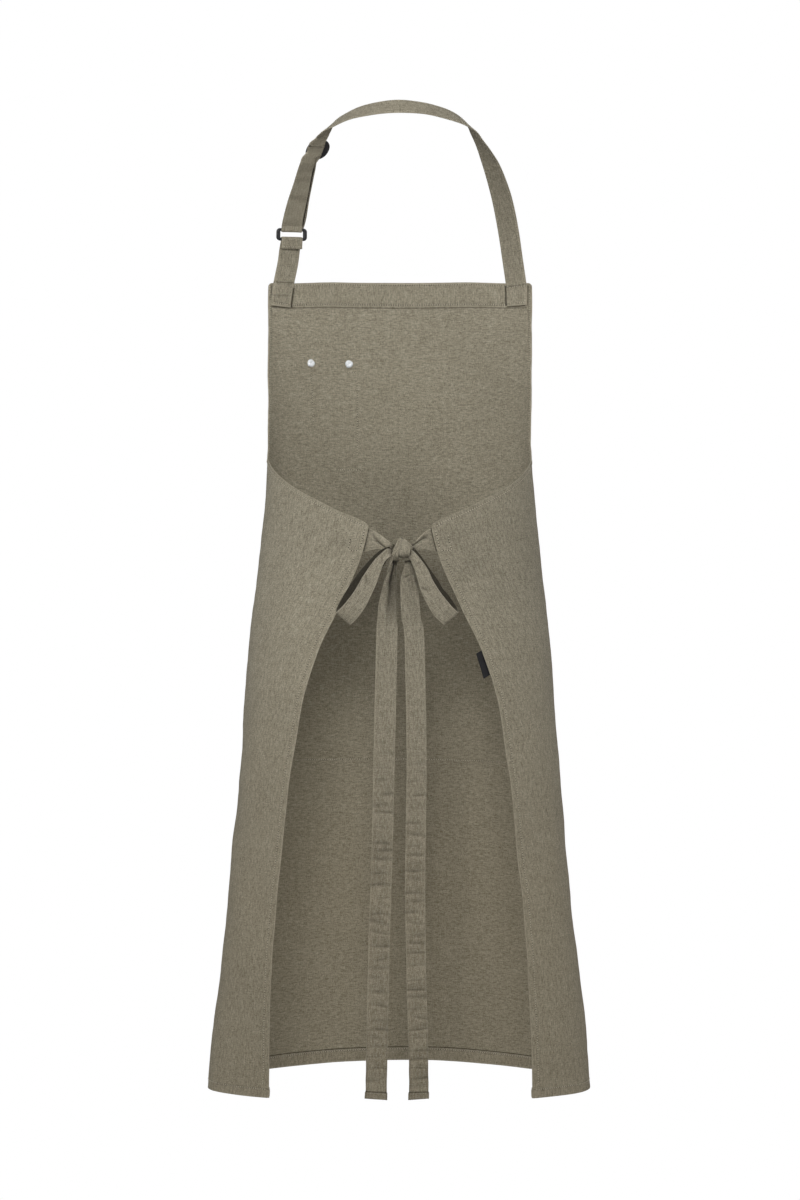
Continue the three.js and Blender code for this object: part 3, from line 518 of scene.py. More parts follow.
class Ribbon:
    """A folded cloth band along a route, with its own relief off the route and rounded edges."""
    def __init__(self, rows, pitch=2.0, columns=18, thick=STRAP_T, relief=None, sway=None):
        self.u, self.P, self.W, self.D = even(rows, pitch)
        x = np.linspace(-1, 1, columns + 1)
        self.v = np.sign(x) * (1 - (1 - np.abs(x)) ** 1.35)
        T = unit(np.gradient(self.P, axis=0))
        self.N = unit(np.cross(self.W, T))
        U, Vv = np.meshgrid(self.u, self.v, indexing="ij")
        lift = relief(U, Vv, self.u[-1]) if relief else np.zeros_like(U)
        side = sway(U, Vv, self.u[-1]) if sway else np.zeros_like(U)
        self.mid = (self.P[:, None] + self.W[:, None] * (Vv * self.D[:, None] / 2 + side)[..., None]
                    + self.N[:, None] * lift[..., None])
        g0, g1 = np.gradient(self.mid, axis=0), np.gradient(self.mid, axis=1)
        self.normal = unit(np.cross(g1, g0))
        edge = np.clip(1 - np.abs(self.v) ** 10, 0.0, 1) ** 0.5
        self.h = (thick / 2) * (0.42 + 0.58 * edge)
        self.thick = thick

    def build(self, name, material, ends=(True, True), shade=None, ridge=(0, 0), painted_light=None):
        h = np.repeat(self.h[None], len(self.u), 0)
        for at, on in ((0, ends[0]), (-1, ends[1])):
            if on:
                h[at] *= 0.55
        outer = self.mid + self.normal * h[..., None]
        inner = self.mid - self.normal * h[..., None]
        verts, faces = closed(outer, inner)
        across = self.v[None] * self.D[:, None] / 2
        along = np.repeat(self.u[:, None], len(self.v), 1)
        weave = np.stack([across, along, np.zeros_like(across)], -1).reshape(-1, 3)
        under = np.stack([across + 311.0, along + 97.0, np.full_like(across, 40.0)], -1).reshape(-1, 3)
        # paler band edges are wear and painted highlights; ridge_highlight paints a highlight along a folded end;
        # painted_light lightens parts of the outer face
        wear_and_painted_light = np.repeat(smooth((np.abs(self.v) - 0.90) / 0.10)[None], len(self.u), 0)
        ridge_highlight = np.maximum(smooth((ridge[0] - self.u) / 0.8) if ridge[0] else 0 * self.u, smooth((ridge[1] - self.u[-1] + self.u) / 0.8) if ridge[1] else 0 * self.u)
        wear_and_painted_light = np.maximum(wear_and_painted_light, ridge_highlight[:, None]).ravel()
        U, Vv = np.meshgrid(self.u, self.v, indexing="ij")
        outer_wear_and_light = np.maximum(wear_and_painted_light, painted_light(U, Vv, self.u[-1]).ravel()) if painted_light else wear_and_painted_light
        # painted shade for the outer and inner faces
        dark = shade(U, Vv, self.u[-1]) if shade else (0 * U, 0 * U)
        return make(name, verts, faces, material, {
            "weave": ("FLOAT_VECTOR", np.concatenate([weave, under]) * MM),
            "wear_and_painted_light": ("FLOAT", np.concatenate([outer_wear_and_light, wear_and_painted_light])),
            "shade": ("FLOAT", np.concatenate([np.clip(d, 0, 0.9).ravel() for d in dark]))})

    def row(self, v0, side, u0, u1, lift=0.05):
        """Places and normals of a sewn line at v0 across the band, for a thread to follow."""
        k = np.clip(np.searchsorted(self.v, v0), 1, len(self.v) - 1)
        f = (v0 - self.v[k - 1]) / (self.v[k] - self.v[k - 1])
        pick_col = lambda A: A[:, k - 1] * (1 - f) + A[:, k] * f
        n = unit(pick_col(self.normal)) * side
        pts = pick_col(self.mid) + n * (self.thick / 2 * 0.97 + lift)
        on = (self.u >= u0) & (self.u <= u1)
        return pts[on], n[on]

    def cross_row(self, u0, side, v0=-0.9, v1=0.9, lift=0.05):
        k = int(np.argmin(np.abs(self.u - u0)))
        on = (self.v >= v0) & (self.v <= v1)
        n = self.normal[k][on] * side
        return self.mid[k][on] + n * (self.h[on][:, None] + lift), n


# ------------------------------------------------------------------ threads
thread_verts, thread_faces, thread_darkening = [], [], []
thread_count = 0


def sew(points, normals, pitch=2.7, length=1.8, radius=0.36, seed=0, holes=True, hole=(0.48, 0.42), darkening=0.0):
    """A run of stitches along a line: each is a short thread that dives into the cloth at both ends, with dark discs
    between them as the needle holes' painted shade.
    """
    global thread_count
    s = np.concatenate([[0], np.cumsum(np.linalg.norm(np.diff(points, axis=0), axis=1))])
    if s[-1] < pitch:
        return
    g = np.random.default_rng(1000 + seed)
    mids = np.arange(pitch * 0.6, s[-1] - pitch * 0.4, pitch)
    mids = mids + g.normal(0, 0.10, len(mids))
    at = lambda A, q: np.stack([np.interp(q, s, A[:, i]) for i in range(3)], -1)
    c = at(points, mids)
    t = unit(at(points, mids + 0.6) - at(points, mids - 0.6))
    n = unit(at(normals, mids))
    n = unit(n - t * np.sum(n * t, -1, keepdims=True))
    b = np.cross(n, t)
    tilt = g.normal(0, 0.05, len(mids))[:, None]
    t = unit(t + b * tilt)
    b = np.cross(n, t)
    L = length * (1 + g.normal(0, 0.05, len(mids)))[:, None]
    k = len(mids)
    rings = ((-0.5, -0.16, 0.55), (-0.30, 0.16, 1.0), (0.30, 0.16, 1.0), (0.5, -0.16, 0.55))
    ang = np.linspace(0, 2 * math.pi, 6, endpoint=False)
    parts = []
    for (f, h, r) in rings:
        for a in ang:
            parts.append(c + t * (f * L) + n * (h + radius * r * math.sin(a) * 0.8) + b * (radius * r * math.cos(a)))
    V = np.stack(parts, 1)
    f0 = grid_faces(len(rings), 6, 0, False, True)
    F = (f0[None] + (np.arange(k) * 24)[:, None, None]).reshape(-1, 4) + thread_count
    thread_verts.append(V.reshape(-1, 3))
    thread_faces.extend(F.tolist())
    thread_darkening.append(np.full(k * 24, darkening))
    thread_count += k * 24
    if holes:
        q = (mids[:-1] + mids[1:]) / 2
        c, n = at(points, q), unit(at(normals, q))
        t = unit(at(points, q + 0.6) - at(points, q - 0.6))
        b = np.cross(n, t)
        parts = [c + t * (hole[0] * math.cos(a)) + b * (hole[1] * math.sin(a)) for a in ang]
        parts.append(c + n * 0.03)
        V = np.stack(parts, 1)
        f0 = np.array([(i, (i + 1) % 6, 6) for i in range(6)])
        F = (f0[None] + (np.arange(len(q)) * 7)[:, None, None]).reshape(-1, 3) + thread_count
        thread_verts.append(V.reshape(-1, 3))
        thread_faces.extend(F.tolist())
        thread_darkening.append(np.ones(len(q) * 7))
        thread_count += len(q) * 7


def sew_flat(p, z, side, out, **kw):
    """A sewn line given on the flat cut; side +1 is the outer face, -1 the inner."""
    p, z = np.broadcast_arrays(np.asarray(p, float), np.asarray(z, float))
    s = np.concatenate([[0], np.cumsum(np.hypot(np.diff(p), np.diff(z)))])
    u = np.linspace(0, s[-1], max(2, int(s[-1] / 1.0)))
    p, z = np.interp(u, s, p), np.interp(u, s, z)
    sew(surface(p, z, side * out), surface_normal(p, z) * side, **kw)


# ------------------------------------------------------------------ hanging ties, built first
TAIL_LEFT = [
    (-6.4, -56.8, -489.4, 0.97, 0, -0.24, 6.6), (-7.2, -57.2, -494.1, 0.97, 0, -0.22, 8.0),
    (-9.0, -57.6, -504.7, 0.98, 0, -0.18, 11.0), (-11.3, -57.9, -520.5, 0.99, 0, -0.12, 15.4),
    (-13.1, -58.0, -536.3, 1, 0, -0.08, 18.7), (-13.7, -58.2, -552.2, 1, 0, -0.05, 20.6),
    (-13.9, -58.4, -573.2, 1, 0, -0.03, 22.4),
    (-16.8, -58.6, -699.6, 1, 0, -0.02, 22.4), (-18.8, -58.6, -794.5, 1, 0, -0.03, 22.2),
    (-21.9, -58.6, -889.3, 1, 0, -0.03, 22.2), (-24.3, -58.6, -999.9, 1, 0, -0.02, 22.4),
    (-25.2, -58.6, -1049.6, 1, 0, -0.06, 22.4), (-25.2, -58.6, -1051.0, 1, 0, -0.07, 23.8),
    (-25.4, -58.6, -1057.6, 1, 0, -0.08, 24.0)]
TAIL_RIGHT = [
    (7.8, -56.8, -489.4, 0.97, 0, 0.22, 6.4), (8.6, -57.2, -494.1, 0.97, 0, 0.2, 7.6),
    (8.5, -57.5, -501.5, 0.98, 0, 0.16, 12.6), (8.8, -57.8, -510.0, 0.99, 0, 0.12, 16.4),
    (9.9, -58.0, -520.5, 1, 0, 0.08, 19.0), (10.8, -58.0, -536.3, 1, 0, 0.06, 19.9),
    (12.1, -58.2, -552.2, 1, 0, 0.05, 20.2), (15.2, -58.4, -573.2, 1, 0, 0.03, 20.8),
    (17.4, -58.6, -699.6, 1, 0, 0, 21.0), (16.0, -58.6, -826.1, 1, 0, 0, 21.0),
    (17.1, -58.6, -920.9, 1, 0, 0.02, 20.8), (19.5, -58.6, -1015.7, 1, 0, 0.02, 20.4),
    (19.7, -58.6, -1049.6, 1, 0, 0.02, 20.6), (19.7, -58.6, -1051.0, 1, 0, 0.03, 22.0), (19.6, -58.6, -1057.6, 1, 0, 0.07, 22.2)]


def crumple(seed, low, high, amount):
    """Soft creases that lie across a band: their relief and, in the hollow of each, their shade."""
    def f(u, v, start, end, lean=0.10):
        g = np.random.default_rng(seed)
        out, dark = np.zeros_like(u), np.zeros_like(u)
        x = start
        while x < end:
            a = amount * g.uniform(0.35, 1)
            w = g.uniform(1.1, 3.0)
            tilt = g.normal(0, lean) * 14
            mid, wide = g.uniform(-0.6, 0.6), g.uniform(0.6, 1.5)
            reach = np.exp(-((v - mid) / wide) ** 2)
            bow = g.normal(0, 0.8) * (v - mid) ** 2
            d = u - x - tilt * v - bow
            out = out + a * (np.exp(-(d / w) ** 2) - 0.7 * np.exp(-((d - 2.2 * w) / (1.7 * w)) ** 2)) * reach
            dark = dark + 0.42 * a / amount * (np.exp(-(d / (0.75 * w)) ** 2) + 0.30 * np.exp(-((d + 2.6 * w) / (2.4 * w)) ** 2)) * reach
            x += g.uniform(low, high)
        return out, dark
    return f


tail_noise = waves(31, 16, 40, 120, 0.55)
crease_l, crease_r = crumple(41, 7, 17, 0.75), crumple(42, 7, 17, 0.75)


# the tails' front (seen) side is -N here, so relief towards the viewer is negative
def tail_left_relief(u, v, L):
    gather = smooth((44 - u) / 24)
    slit = 0.02 - 0.30 * smooth(u / 26)
    flap = -2.0 * np.exp(-((v - slit + 0.50) / 0.36) ** 2) + 3.4 * np.exp(-((v - slit - 0.08) / 0.20) ** 2)
    flap = flap - 1.1 * np.exp(-((v - 0.42) / 0.18) ** 2) + 0.9 * np.exp(-((v - 0.72) / 0.13) ** 2)
    soft = 1.0 * np.exp(-((v - 0.10) / 0.30) ** 2) * smooth((74 - u) / 40) + 0.45 * np.sin(v * 2.6 + 0.6) * smooth((200 - u) / 140)
    out = flap * gather + soft + tail_noise(u, v * 14) * smooth(u / 60)
    out = out + crease_l(u, v, 170.0, L - 12)[0] * smooth((u - 150) / 110)
    return out + 0.40 * np.exp(-((u - (L - 7.6)) / 0.9) ** 2) - 0.50 * smooth((u - (L - 6.9)) / 1.2)


def tail_painted_shade(u, v, L, crease):
    """Painted shade in the wrinkles' hollows, along the fold of the end hem, over the end band and a little all over;
    dark lines just inside the edges near the end.
    """
    fold = np.exp(-((u - (L - 7.3)) / 0.75) ** 2)
    return 0.07 + crease(u, v, 170.0, L - 12)[1] * smooth((u - 150) / 110) + 0.78 * fold + 0.34 * np.exp(-((np.abs(v) - 0.93) / 0.06) ** 2) * smooth((u - 470) / 60) + 0.10 * smooth((u - (L - 7.0)) / 1.0)


def tail_left_shade(u, v, L):
    slit = 0.02 - 0.30 * smooth(u / 26)
    wide = 0.24 - 0.10 * smooth(u / 24)
    # painted shade: in the slit beside the flap, over the flap's far half, and under the knot at the top
    front = 0.9 * np.exp(-((v - slit - 0.08) / wide) ** 2) * smooth((30 - u) / 10)
    front = front + 0.46 * smooth((v - slit) / 0.2) * smooth((84 - u) / 55) + 0.20 * np.exp(-((v - 0.12) / 0.22) ** 2) * smooth((66 - u) / 24)
    front = front + 0.9 * smooth((5.5 - u) / 4.5) + tail_painted_shade(u, v, L, crease_l)
    return 0 * u + 0.05, front


def tail_right_shade(u, v, L):
    # painted shade: along the right edge near the top, in the dent, and under the knot at the top
    front = 0.55 * np.exp(-((v - 0.92) / 0.14) ** 2) * smooth((38 - u) / 16) + 0.35 * np.exp(-((u - 16.5 + 2.5 * v) / 1.1) ** 2) * np.exp(-((v + 0.05) / 0.55) ** 2)
    front = front + 0.9 * smooth((4.5 - u) / 4.0) + tail_painted_shade(u, v, L, crease_r)
    return 0 * u + 0.05, front


def tail_right_relief(u, v, L):
    gather = smooth((58 - u) / 50)
    fold = 1.3 * np.exp(-((v - 0.60) / 0.20) ** 2) - 1.2 * np.exp(-((v - 0.85) / 0.16) ** 2) + 0.7 * np.exp(-((v + 0.75) / 0.25) ** 2)
    dent = 1.5 * np.exp(-((u - 16.5 + 2.5 * v) / 1.5) ** 2) * np.exp(-((v + 0.05) / 0.6) ** 2) - 0.9 * np.exp(-((u - 20.5 + 2.5 * v) / 2.4) ** 2) * np.exp(-((v + 0.1) / 0.6) ** 2)
    soft = 0.45 * np.sin(v * 2.2 - 0.4) * smooth((150 - u) / 100)
    out = fold * gather + dent + soft + tail_noise(u + 500, v * 14 + 90) * smooth(u / 60)
    out = out + crease_r(u, v, 170.0, L - 12)[0] * smooth((u - 150) / 110)
    return out + 0.40 * np.exp(-((u - (L - 7.6)) / 0.9) ** 2) - 0.50 * smooth((u - (L - 6.9)) / 1.2)


edge_wobble = waves(33, 14, 14, 60, 0.09)
tails = {}
for name, table, relief, shade, k in (("tail_left_cloth", TAIL_LEFT, tail_left_relief, tail_left_shade, 0),
                                      ("tail_right_cloth", TAIL_RIGHT, tail_right_relief, tail_right_shade, 1)):
    rib = Ribbon([*route(stops(table[:-2]), 8), *stops(table[-2:])], 0.72, 30, STRAP_T, relief,
                 lambda u, v, L, k=k: edge_wobble(u + 700 * k, v * 3) * smooth((u - 60) / 120) * np.abs(v))
    ob = rib.build(name, STRAP_MAT, shade=shade)
    node = name.replace("_cloth", "").replace("tail", "tie_tail")
    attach(ob, "root")
    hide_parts(node)
    L = float(rib.u[-1])
    [tuple(p * MM) for p in rib.P]
    tails[name] = rib
    for side, sd in ((1, 310), (-1, 300)):
        pts, nrm = rib.cross_row(L - 5.6, side, -0.92, 0.92)
        sew(pts, nrm, pitch=2.6, length=1.8, radius=0.20, seed=sd + k, holes=False, darkening=0.35)

# ------------------------------------------------------------------ apron body
rows_z = np.concatenate([
    TOP_Z - np.array([0, 0.25, 0.7, 1.4, 2.4, 3.6, 5.0]),
    np.linspace(TOP_Z - 8.5, -357.0, 46),
    np.linspace(-359.1, -455.5, 58),
    np.linspace(-459.0, HEM_Z + 30.0, 142)])
hem_s = np.array([1.75, 1.45, 1.2, 1.05, 0.98, 0.93, 0.88, 0.74, 0.45, 0.20, 0.06, 0.0])
EDGE_IN = np.array([0, 0.4, 0.9, 1.6, 2.6, 4.0, 6.0, 8.5])


def columns(w):
    """Places across the cut: close together at the two edges, even between."""
    return np.concatenate([-(w - EDGE_IN), np.linspace(-1, 1, 137) * (w - 11.0), (w - EDGE_IN)[::-1]])


pz = []
for z in rows_z:
    pz.append((columns(cut_edge(z)), np.full(153, z)))
for s in hem_s:
    p0 = columns(FLAT_HALF_W)
    zz = HEM_Z + s * hem_height(p0)
    pz.append((p0 + np.sign(p0) * (cut_edge(zz) - FLAT_HALF_W) * smooth((np.abs(p0) - 330) / 45), zz))
BP = np.array([a for a, _ in pz])
BZ = np.array([b for _, b in pz])
# a shallow trough along the hem's sewn line
rel = (BZ - HEM_Z) / hem_height(BP)
trough = -0.22 * np.exp(-((rel - 0.93) / 0.07) ** 2)
outer = surface(BP, BZ, CLOTH / 2 + trough)
inner = surface(BP, BZ, -CLOTH / 2)
verts, faces = closed(outer, inner)
w_out = np.stack([BP, BZ, np.zeros_like(BP)], -1).reshape(-1, 3)
w_in = np.stack([BZ, BP, np.full_like(BP, 60.0)], -1).reshape(-1, 3)
edge_d = np.abs(np.abs(BP) - cut_edge(BZ))
# paler cut edges, hem fold and top fold: wear and painted highlights
wear_and_painted_light = np.maximum.reduce([0.85 * smooth((1.2 - edge_d) / 1.0), np.where(BZ < HEM_Z + 0.3, 0.8, 0.0), np.where(BZ > TOP_Z - 0.3, 0.8, 0.0)]).ravel()
# painted shade outside: a dark line in the hem's sewn groove, over the right panel, the lower left panel and near the
# right panel's waist
painted_shade_out = 0.34 * np.exp(-((rel - 0.93) / 0.035) ** 2) + 0.06 * smooth((BP - 205) / 60) * smooth((BZ + 700) / 120) + 0.04 * smooth((-BP - 205) / 40) * smooth((-800 - BZ) / 160) + 0.06 * smooth((BP - 150) / 40) * np.exp(-((BZ + 480) / 62) ** 2)
# painted shade inside: darker on parts of the front's inner face, round and below the bow, and down behind the tails
painted_shade_in = 0.05 * smooth((BP - 30) / 90) * smooth((BZ + 430) / 100) + 0.05 * smooth((BP + 40) / 90) * smooth((-560 - BZ) / 80) + 0.10 * np.exp(-(BP / 90) ** 2) * np.exp(-((BZ + 430) / 60) ** 2) + 0.50 * np.exp(-(BP / 78) ** 2) * np.exp(-((BZ + 508) / np.where(BZ > -508, 38, 42)) ** 2) + 0.13 * np.exp(-((BP - 8) / 44) ** 2) * smooth((-600 - BZ) / 80) * smooth((BZ + 1010) / 240)
# painted shade: soft dark patches on the back panels below the ties' roots, where hollows would be in shade
seen = surface(BP, BZ)
for x0, z0, along, across, turn, deep in ((-62.7, -467.5, 20.0, 6.5, -0.72, 0.13), (-88.0, -462.0, 24.0, 9.0, -0.5, 0.05), (77.0, -494.0, 22.0, 14.0, 0.5, 0.13),
                                          (66.0, -462.0, 26.0, 8.0, 0.45, 0.05), (104.0, -520.0, 30.0, 12.0, 0.9, 0.06)):
    a = (seen[..., 0] - x0) * math.cos(turn) + (seen[..., 2] - z0) * math.sin(turn)
    b = (seen[..., 2] - z0) * math.cos(turn) - (seen[..., 0] - x0) * math.sin(turn)
    painted_shade_out = painted_shade_out + np.where(seen[..., 1] < 20, deep, 0) * np.exp(-(a / along) ** 2 - (b / across) ** 2)
body = make("apron_cloth", verts, faces, CLOTH_MAT, {
    "weave": ("FLOAT_VECTOR", np.concatenate([w_out, w_in]) * MM), "wear_and_painted_light": ("FLOAT", np.concatenate([wear_and_painted_light, wear_and_painted_light])),
    "shade": ("FLOAT", np.concatenate([painted_shade_out.ravel(), painted_shade_in.ravel()]))})
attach(body, "root")
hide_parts("apron_body")

# ------------------------------------------------------------------ hems: turned edges, sewn down on the inner face
pucker = waves(11, 18, 5.5, 12, 0.13)
HEM_T = 0.62
PROFILE = ((0.0, 0.10), (0.05, 0.55), (0.16, 0.95), (0.36, 1.05), (0.58, 1.0), (0.76, 0.92), (0.86, 0.72), (0.92, 0.70), (0.965, 0.98), (0.99, 0.90), (1.0, -0.15))


def turned_edge(edge, inward, width, start_out=0.0, drop=1.0, thick=HEM_T):
    """A strip folded over along an edge of the flat cut, on the inner face, with paler lines along its folds (wear and
    painted highlights) and the shadow its free edge drops painted on the cloth beside it.
    edge: (n,2) points, inward: (n,2), width: (n,)."""
    s = np.concatenate([[0], np.cumsum(np.linalg.norm(np.diff(edge, axis=0), axis=1))])
    grid, uv, wr, sh = [], [], [], []
    # the last four rows lie on the cloth past the free edge and carry its painted shadow; the sewn rows carry a little
    # painted shade
    rows = [(t, 0.0, h, 0.0) for t, h in PROFILE] + [(1.0, 0.12, 0.22, 0.86), (1.0, 0.55, 0.22, 0.80), (1.0, 1.15, 0.20, 0.40), (1.0, 1.9, -0.3, 0.0)]
    for (t, past, h, dark) in rows:
        q = edge + inward * (width * t + past)[:, None]
        puff = pucker(s, t * width) * math.sin(math.pi * min(t / 0.9, 1.0))
        out = -(CLOTH / 2 + (start_out if not past else 0.0) + np.maximum(thick * h + (puff if not past else 0.0), -0.2))
        grid.append(surface(q[:, 0], q[:, 1], out))
        uv.append(np.stack([q[:, 0] + 53.0, q[:, 1], np.full(len(q), 20.0)], -1))
        wr.append(np.full(len(q), 0.75 if t in (0.05, 0.965) and not past else 0.0))
        sh.append(np.full(len(q), dark * drop if past else (0.10 if t in (0.86, 0.92) else 0.0)))
    return np.array(grid), np.array(uv), np.array(wr), np.array(sh)


def resample(path, pitch):
    path = np.asarray(path, float)
    s = np.concatenate([[0], np.cumsum(np.linalg.norm(np.diff(path, axis=0), axis=1))])
    u = np.linspace(0, s[-1], max(2, int(s[-1] / pitch) + 1))
    return np.stack([np.interp(u, s, path[:, 0]), np.interp(u, s, path[:, 1])], 1)


def inward_of(path, side):
    t = unit(np.gradient(path, axis=0))
    return np.stack([t[:, 1], -t[:, 0]], 1) if side > 0 else np.stack([-t[:, 1], t[:, 0]], 1)


hem_v, hem_f, hem_uv, hem_w, hem_s_, hem_n = [], [], [], [], [], 0


def add_strip(grid, uv, wr, sh):
    """Adds a strip that lies on the cloth, its faces turned towards the wearer."""
    global hem_n
    nr, nc, _ = grid.shape
    # the seen face looks towards the wearer; turn the grid so its faces look that way
    a, b = grid[1] - grid[0], np.gradient(grid[0], axis=0)
    facing = np.cross(b, grid[2] - grid[0])
    ref = np.array([0.0, 60.0, -600.0]) - grid[0]
    flip = np.mean(np.sum(facing * ref, -1)) < 0
    hem_v.append(grid.reshape(-1, 3))
    hem_f.extend(grid_faces(nr, nc, hem_n, flip).tolist())
    hem_uv.append(uv.reshape(-1, 3))
    hem_w.append(wr.ravel())
    hem_s_.append(sh.ravel())
    hem_n += nr * nc




def side_hem(z):
    """Width of the narrow hem down the bib's sides and along the armholes."""
    return 3.0 + 1.2 * smooth((-290 - z) / 70)


side_paths = {}
for side in (1, -1):
    z = np.concatenate([TOP_Z - np.array([1.2, 2.4, 3.6, 5.0, 7.0]), np.linspace(TOP_Z - 9, CORNER_Z + 0.4, 260)])
    path = resample(np.stack([side * (cut_edge(z) - 0.05), z], 1), 1.7)
    side_paths[side] = path
    add_strip(*turned_edge(path, inward_of(path, side), side_hem(path[:, 1]), 0.0, 0.5))
    z = np.linspace(CORNER_Z - 2.0, HEM_Z + 12.0, 360)
    path = np.stack([side * (cut_edge(z) - 0.05), z], 1)
    add_strip(*turned_edge(path, inward_of(path, side), np.full(len(path), 8.0), 0.0, 0.8))
p = np.linspace(-147.6, 147.6, 190)
add_strip(*turned_edge(np.stack([p, np.full_like(p, TOP_Z - 0.05)], 1), np.stack([0 * p, 0 * p - 1], 1), np.full(len(p), 27.6), 0.06, 0.62))
p = np.linspace(-375.6, 375.6, 440)
add_strip(*turned_edge(np.stack([p, np.full_like(p, HEM_Z + 0.05)], 1), np.stack([0 * p, 0 * p + 1], 1), hem_height(p), 0.10))


# ------------------------------------------------------------------ sewn lines on the body
ON_CLOTH, ON_HEM = CLOTH / 2 + 0.13, CLOTH / 2 + HEM_T * 0.70 + 0.14
p = np.linspace(-372.0, 372.0, 800)
sew_flat(p, HEM_Z + hem_height(p) * 0.93, 1, ON_CLOTH - 0.20, seed=1)
sew_flat(p, HEM_Z + hem_height(p) * 0.89, -1, ON_HEM + 0.10, seed=2)
p = np.linspace(-143.0, 143.0, 300)
sew_flat(p, TOP_Z - 24.9, -1, ON_HEM + 0.08, radius=0.44, hole=(0.62, 0.5), seed=3)
sew_flat(p, TOP_Z - 24.9, 1, ON_CLOTH, seed=4)
sew_flat(p, TOP_Z - 2.6, -1, CLOTH / 2 + HEM_T + 0.12, radius=0.42, hole=(0.6, 0.5), seed=5)
sew_flat(p, TOP_Z - 2.6, 1, ON_CLOTH, seed=6)
for side in (1, -1):
    path = side_paths[side]
    q = path + inward_of(path, side) * (side_hem(path[:, 1]) * 0.89)[:, None]
    sew_flat(q[6:-2, 0], q[6:-2, 1], 1, ON_CLOTH, seed=10 + side)
    sew_flat(q[6:-2, 0], q[6:-2, 1], -1, ON_HEM, seed=14 + side)
    z = np.linspace(CORNER_Z - 32, HEM_Z + 13, 500)
    sew_flat(np.full_like(z, side * (FLAT_HALF_W - 7.1)), z, 1, ON_CLOTH, seed=18 + side)
    sew_flat(np.full_like(z, side * (FLAT_HALF_W - 7.1)), z, -1, ON_HEM, seed=22 + side)
    # box of stitching that holds the tie's end
    for face, out, sd in ((1, ON_CLOTH, 0), (-1, ON_HEM + 1.9, 3)):
        if face < 0:
            continue
        a, b, t, u = side * 371.2, side * 358.5, CORNER_Z - 3.2, CORNER_Z - 25.0
        sew_flat([a, a], [t, u], face, out, pitch=2.9, length=1.9, radius=0.44, hole=(0.7, 0.55), seed=30 + side + sd)
        sew_flat([b, b], [t - 4.5, u], face, out, pitch=2.9, length=1.9, radius=0.44, hole=(0.7, 0.55), seed=34 + side + sd)
        sew_flat([a, b], [u, u], face, out, pitch=2.9, length=1.9, radius=0.44, hole=(0.7, 0.55), seed=38 + side + sd)
# lines that come through from the front: a wide one across the skirt, three short ones on the bib
sew_flat(np.linspace(-128, 131, 200), np.linspace(-713.0, -715.5, 200), -1, ON_CLOTH, seed=50)
sew_flat(np.linspace(-128, 131, 200), np.linspace(-713.0, -715.5, 200), 1, ON_CLOTH, seed=51)
for (p0, z0, p1, z1, sd) in ((-105.0, -270, -104.0, -330, 52), (-49.5, -282, -50.0, -366, 54), (-77, -383, -47, -383, 56), (-61, -272.5, -49, -273, 58)):
    sew_flat([p0, p1], [z0, z1], -1, ON_CLOTH, seed=sd)
    sew_flat([p0, p1], [z0, z1], 1, ON_CLOTH, seed=sd + 1)

# ------------------------------------------------------------------ neck strap
STRAP_RIGHT = [
    (127.0, 127.6, -147.6, -0.94, 0.33, -0.09), (121.7, 120.4, -114.9, -0.95, 0.31, -0.08),
    (113.5, 104.4, -80.3, -0.91, 0.41, -0.05), (102.7, 85.4, -51.8, -0.80, 0.59, 0.09),
    (93.0, 69.4, -33.9, -0.64, 0.72, 0.27), (85.0, 58.4, -22.2, -0.52, 0.76, 0.40),
    (77.4, 48.4, -12.4, -0.48, 0.67, 0.56), (61.0, 28.4, -5.9, -0.43, 0.61, 0.67),
    (43.3, 14.4, -2.2, -0.31, 0.67, 0.68), (23.6, 4.4, 0.1, -0.17, 0.70, 0.69),
    (0.0, -0.56, 0.55, 0.0, 0.70, 0.71), (-23.1, 4.4, 0.1, 0.17, 0.70, 0.69),
    (-43.3, 14.4, -2.2, 0.31, 0.67, 0.68), (-60.4, 28.4, -5.9, 0.45, 0.59, 0.67),
    (-75.2, 47.4, -10.2, 0.50, 0.64, 0.58), (-82.5, 52.9, -18.3, 0.61, 0.68, 0.33, 20.7)]
STRAP_LOWER = [
    (-103.5, 83.4, -55.9, 0.72, 0.68, 0.10), (-111.1, 101.4, -82.0, 0.81, 0.58, 0.06),
    (-115.9, 113.6, -101.4, 0.91, 0.40, 0.05)]
RETURN = ((2.7, 5.05, 24.0), (2.6, 5.1, 24.8), (2.5, 5.45, 21.2))
slider = Place((-93.8, 67.0, -33.8), (-0.39, 0.49, -0.775), (0.72, 0.69, 0.07))
ring = Place((-121.9, 121.4, -119.9), (-0.02, 0.13, -0.98), (0.95, 0.30, 0.045))
bar_pitch = RING["height"] - RING["bar"]
wrap = RING["bar"] / 2 + GAP + STRAP_T / 2
weave_o = SLIDER["thick"] / 2 + GAP + STRAP_T / 2


def sewn_end(side, rows):
    out = []
    for (p, z, lean) in rows:
        across = unit(surface(side * p - 12, z) - surface(side * p + 12, z))
        at = surface(side * p, z) - surface_normal(side * p, z) * (WALL / 2 + GAP + SEWN_SAG + STRAP_T / 2)
        out.append((at, unit(unit(across + np.array([0, 0, lean])) * side), STRAP_W))
    return out


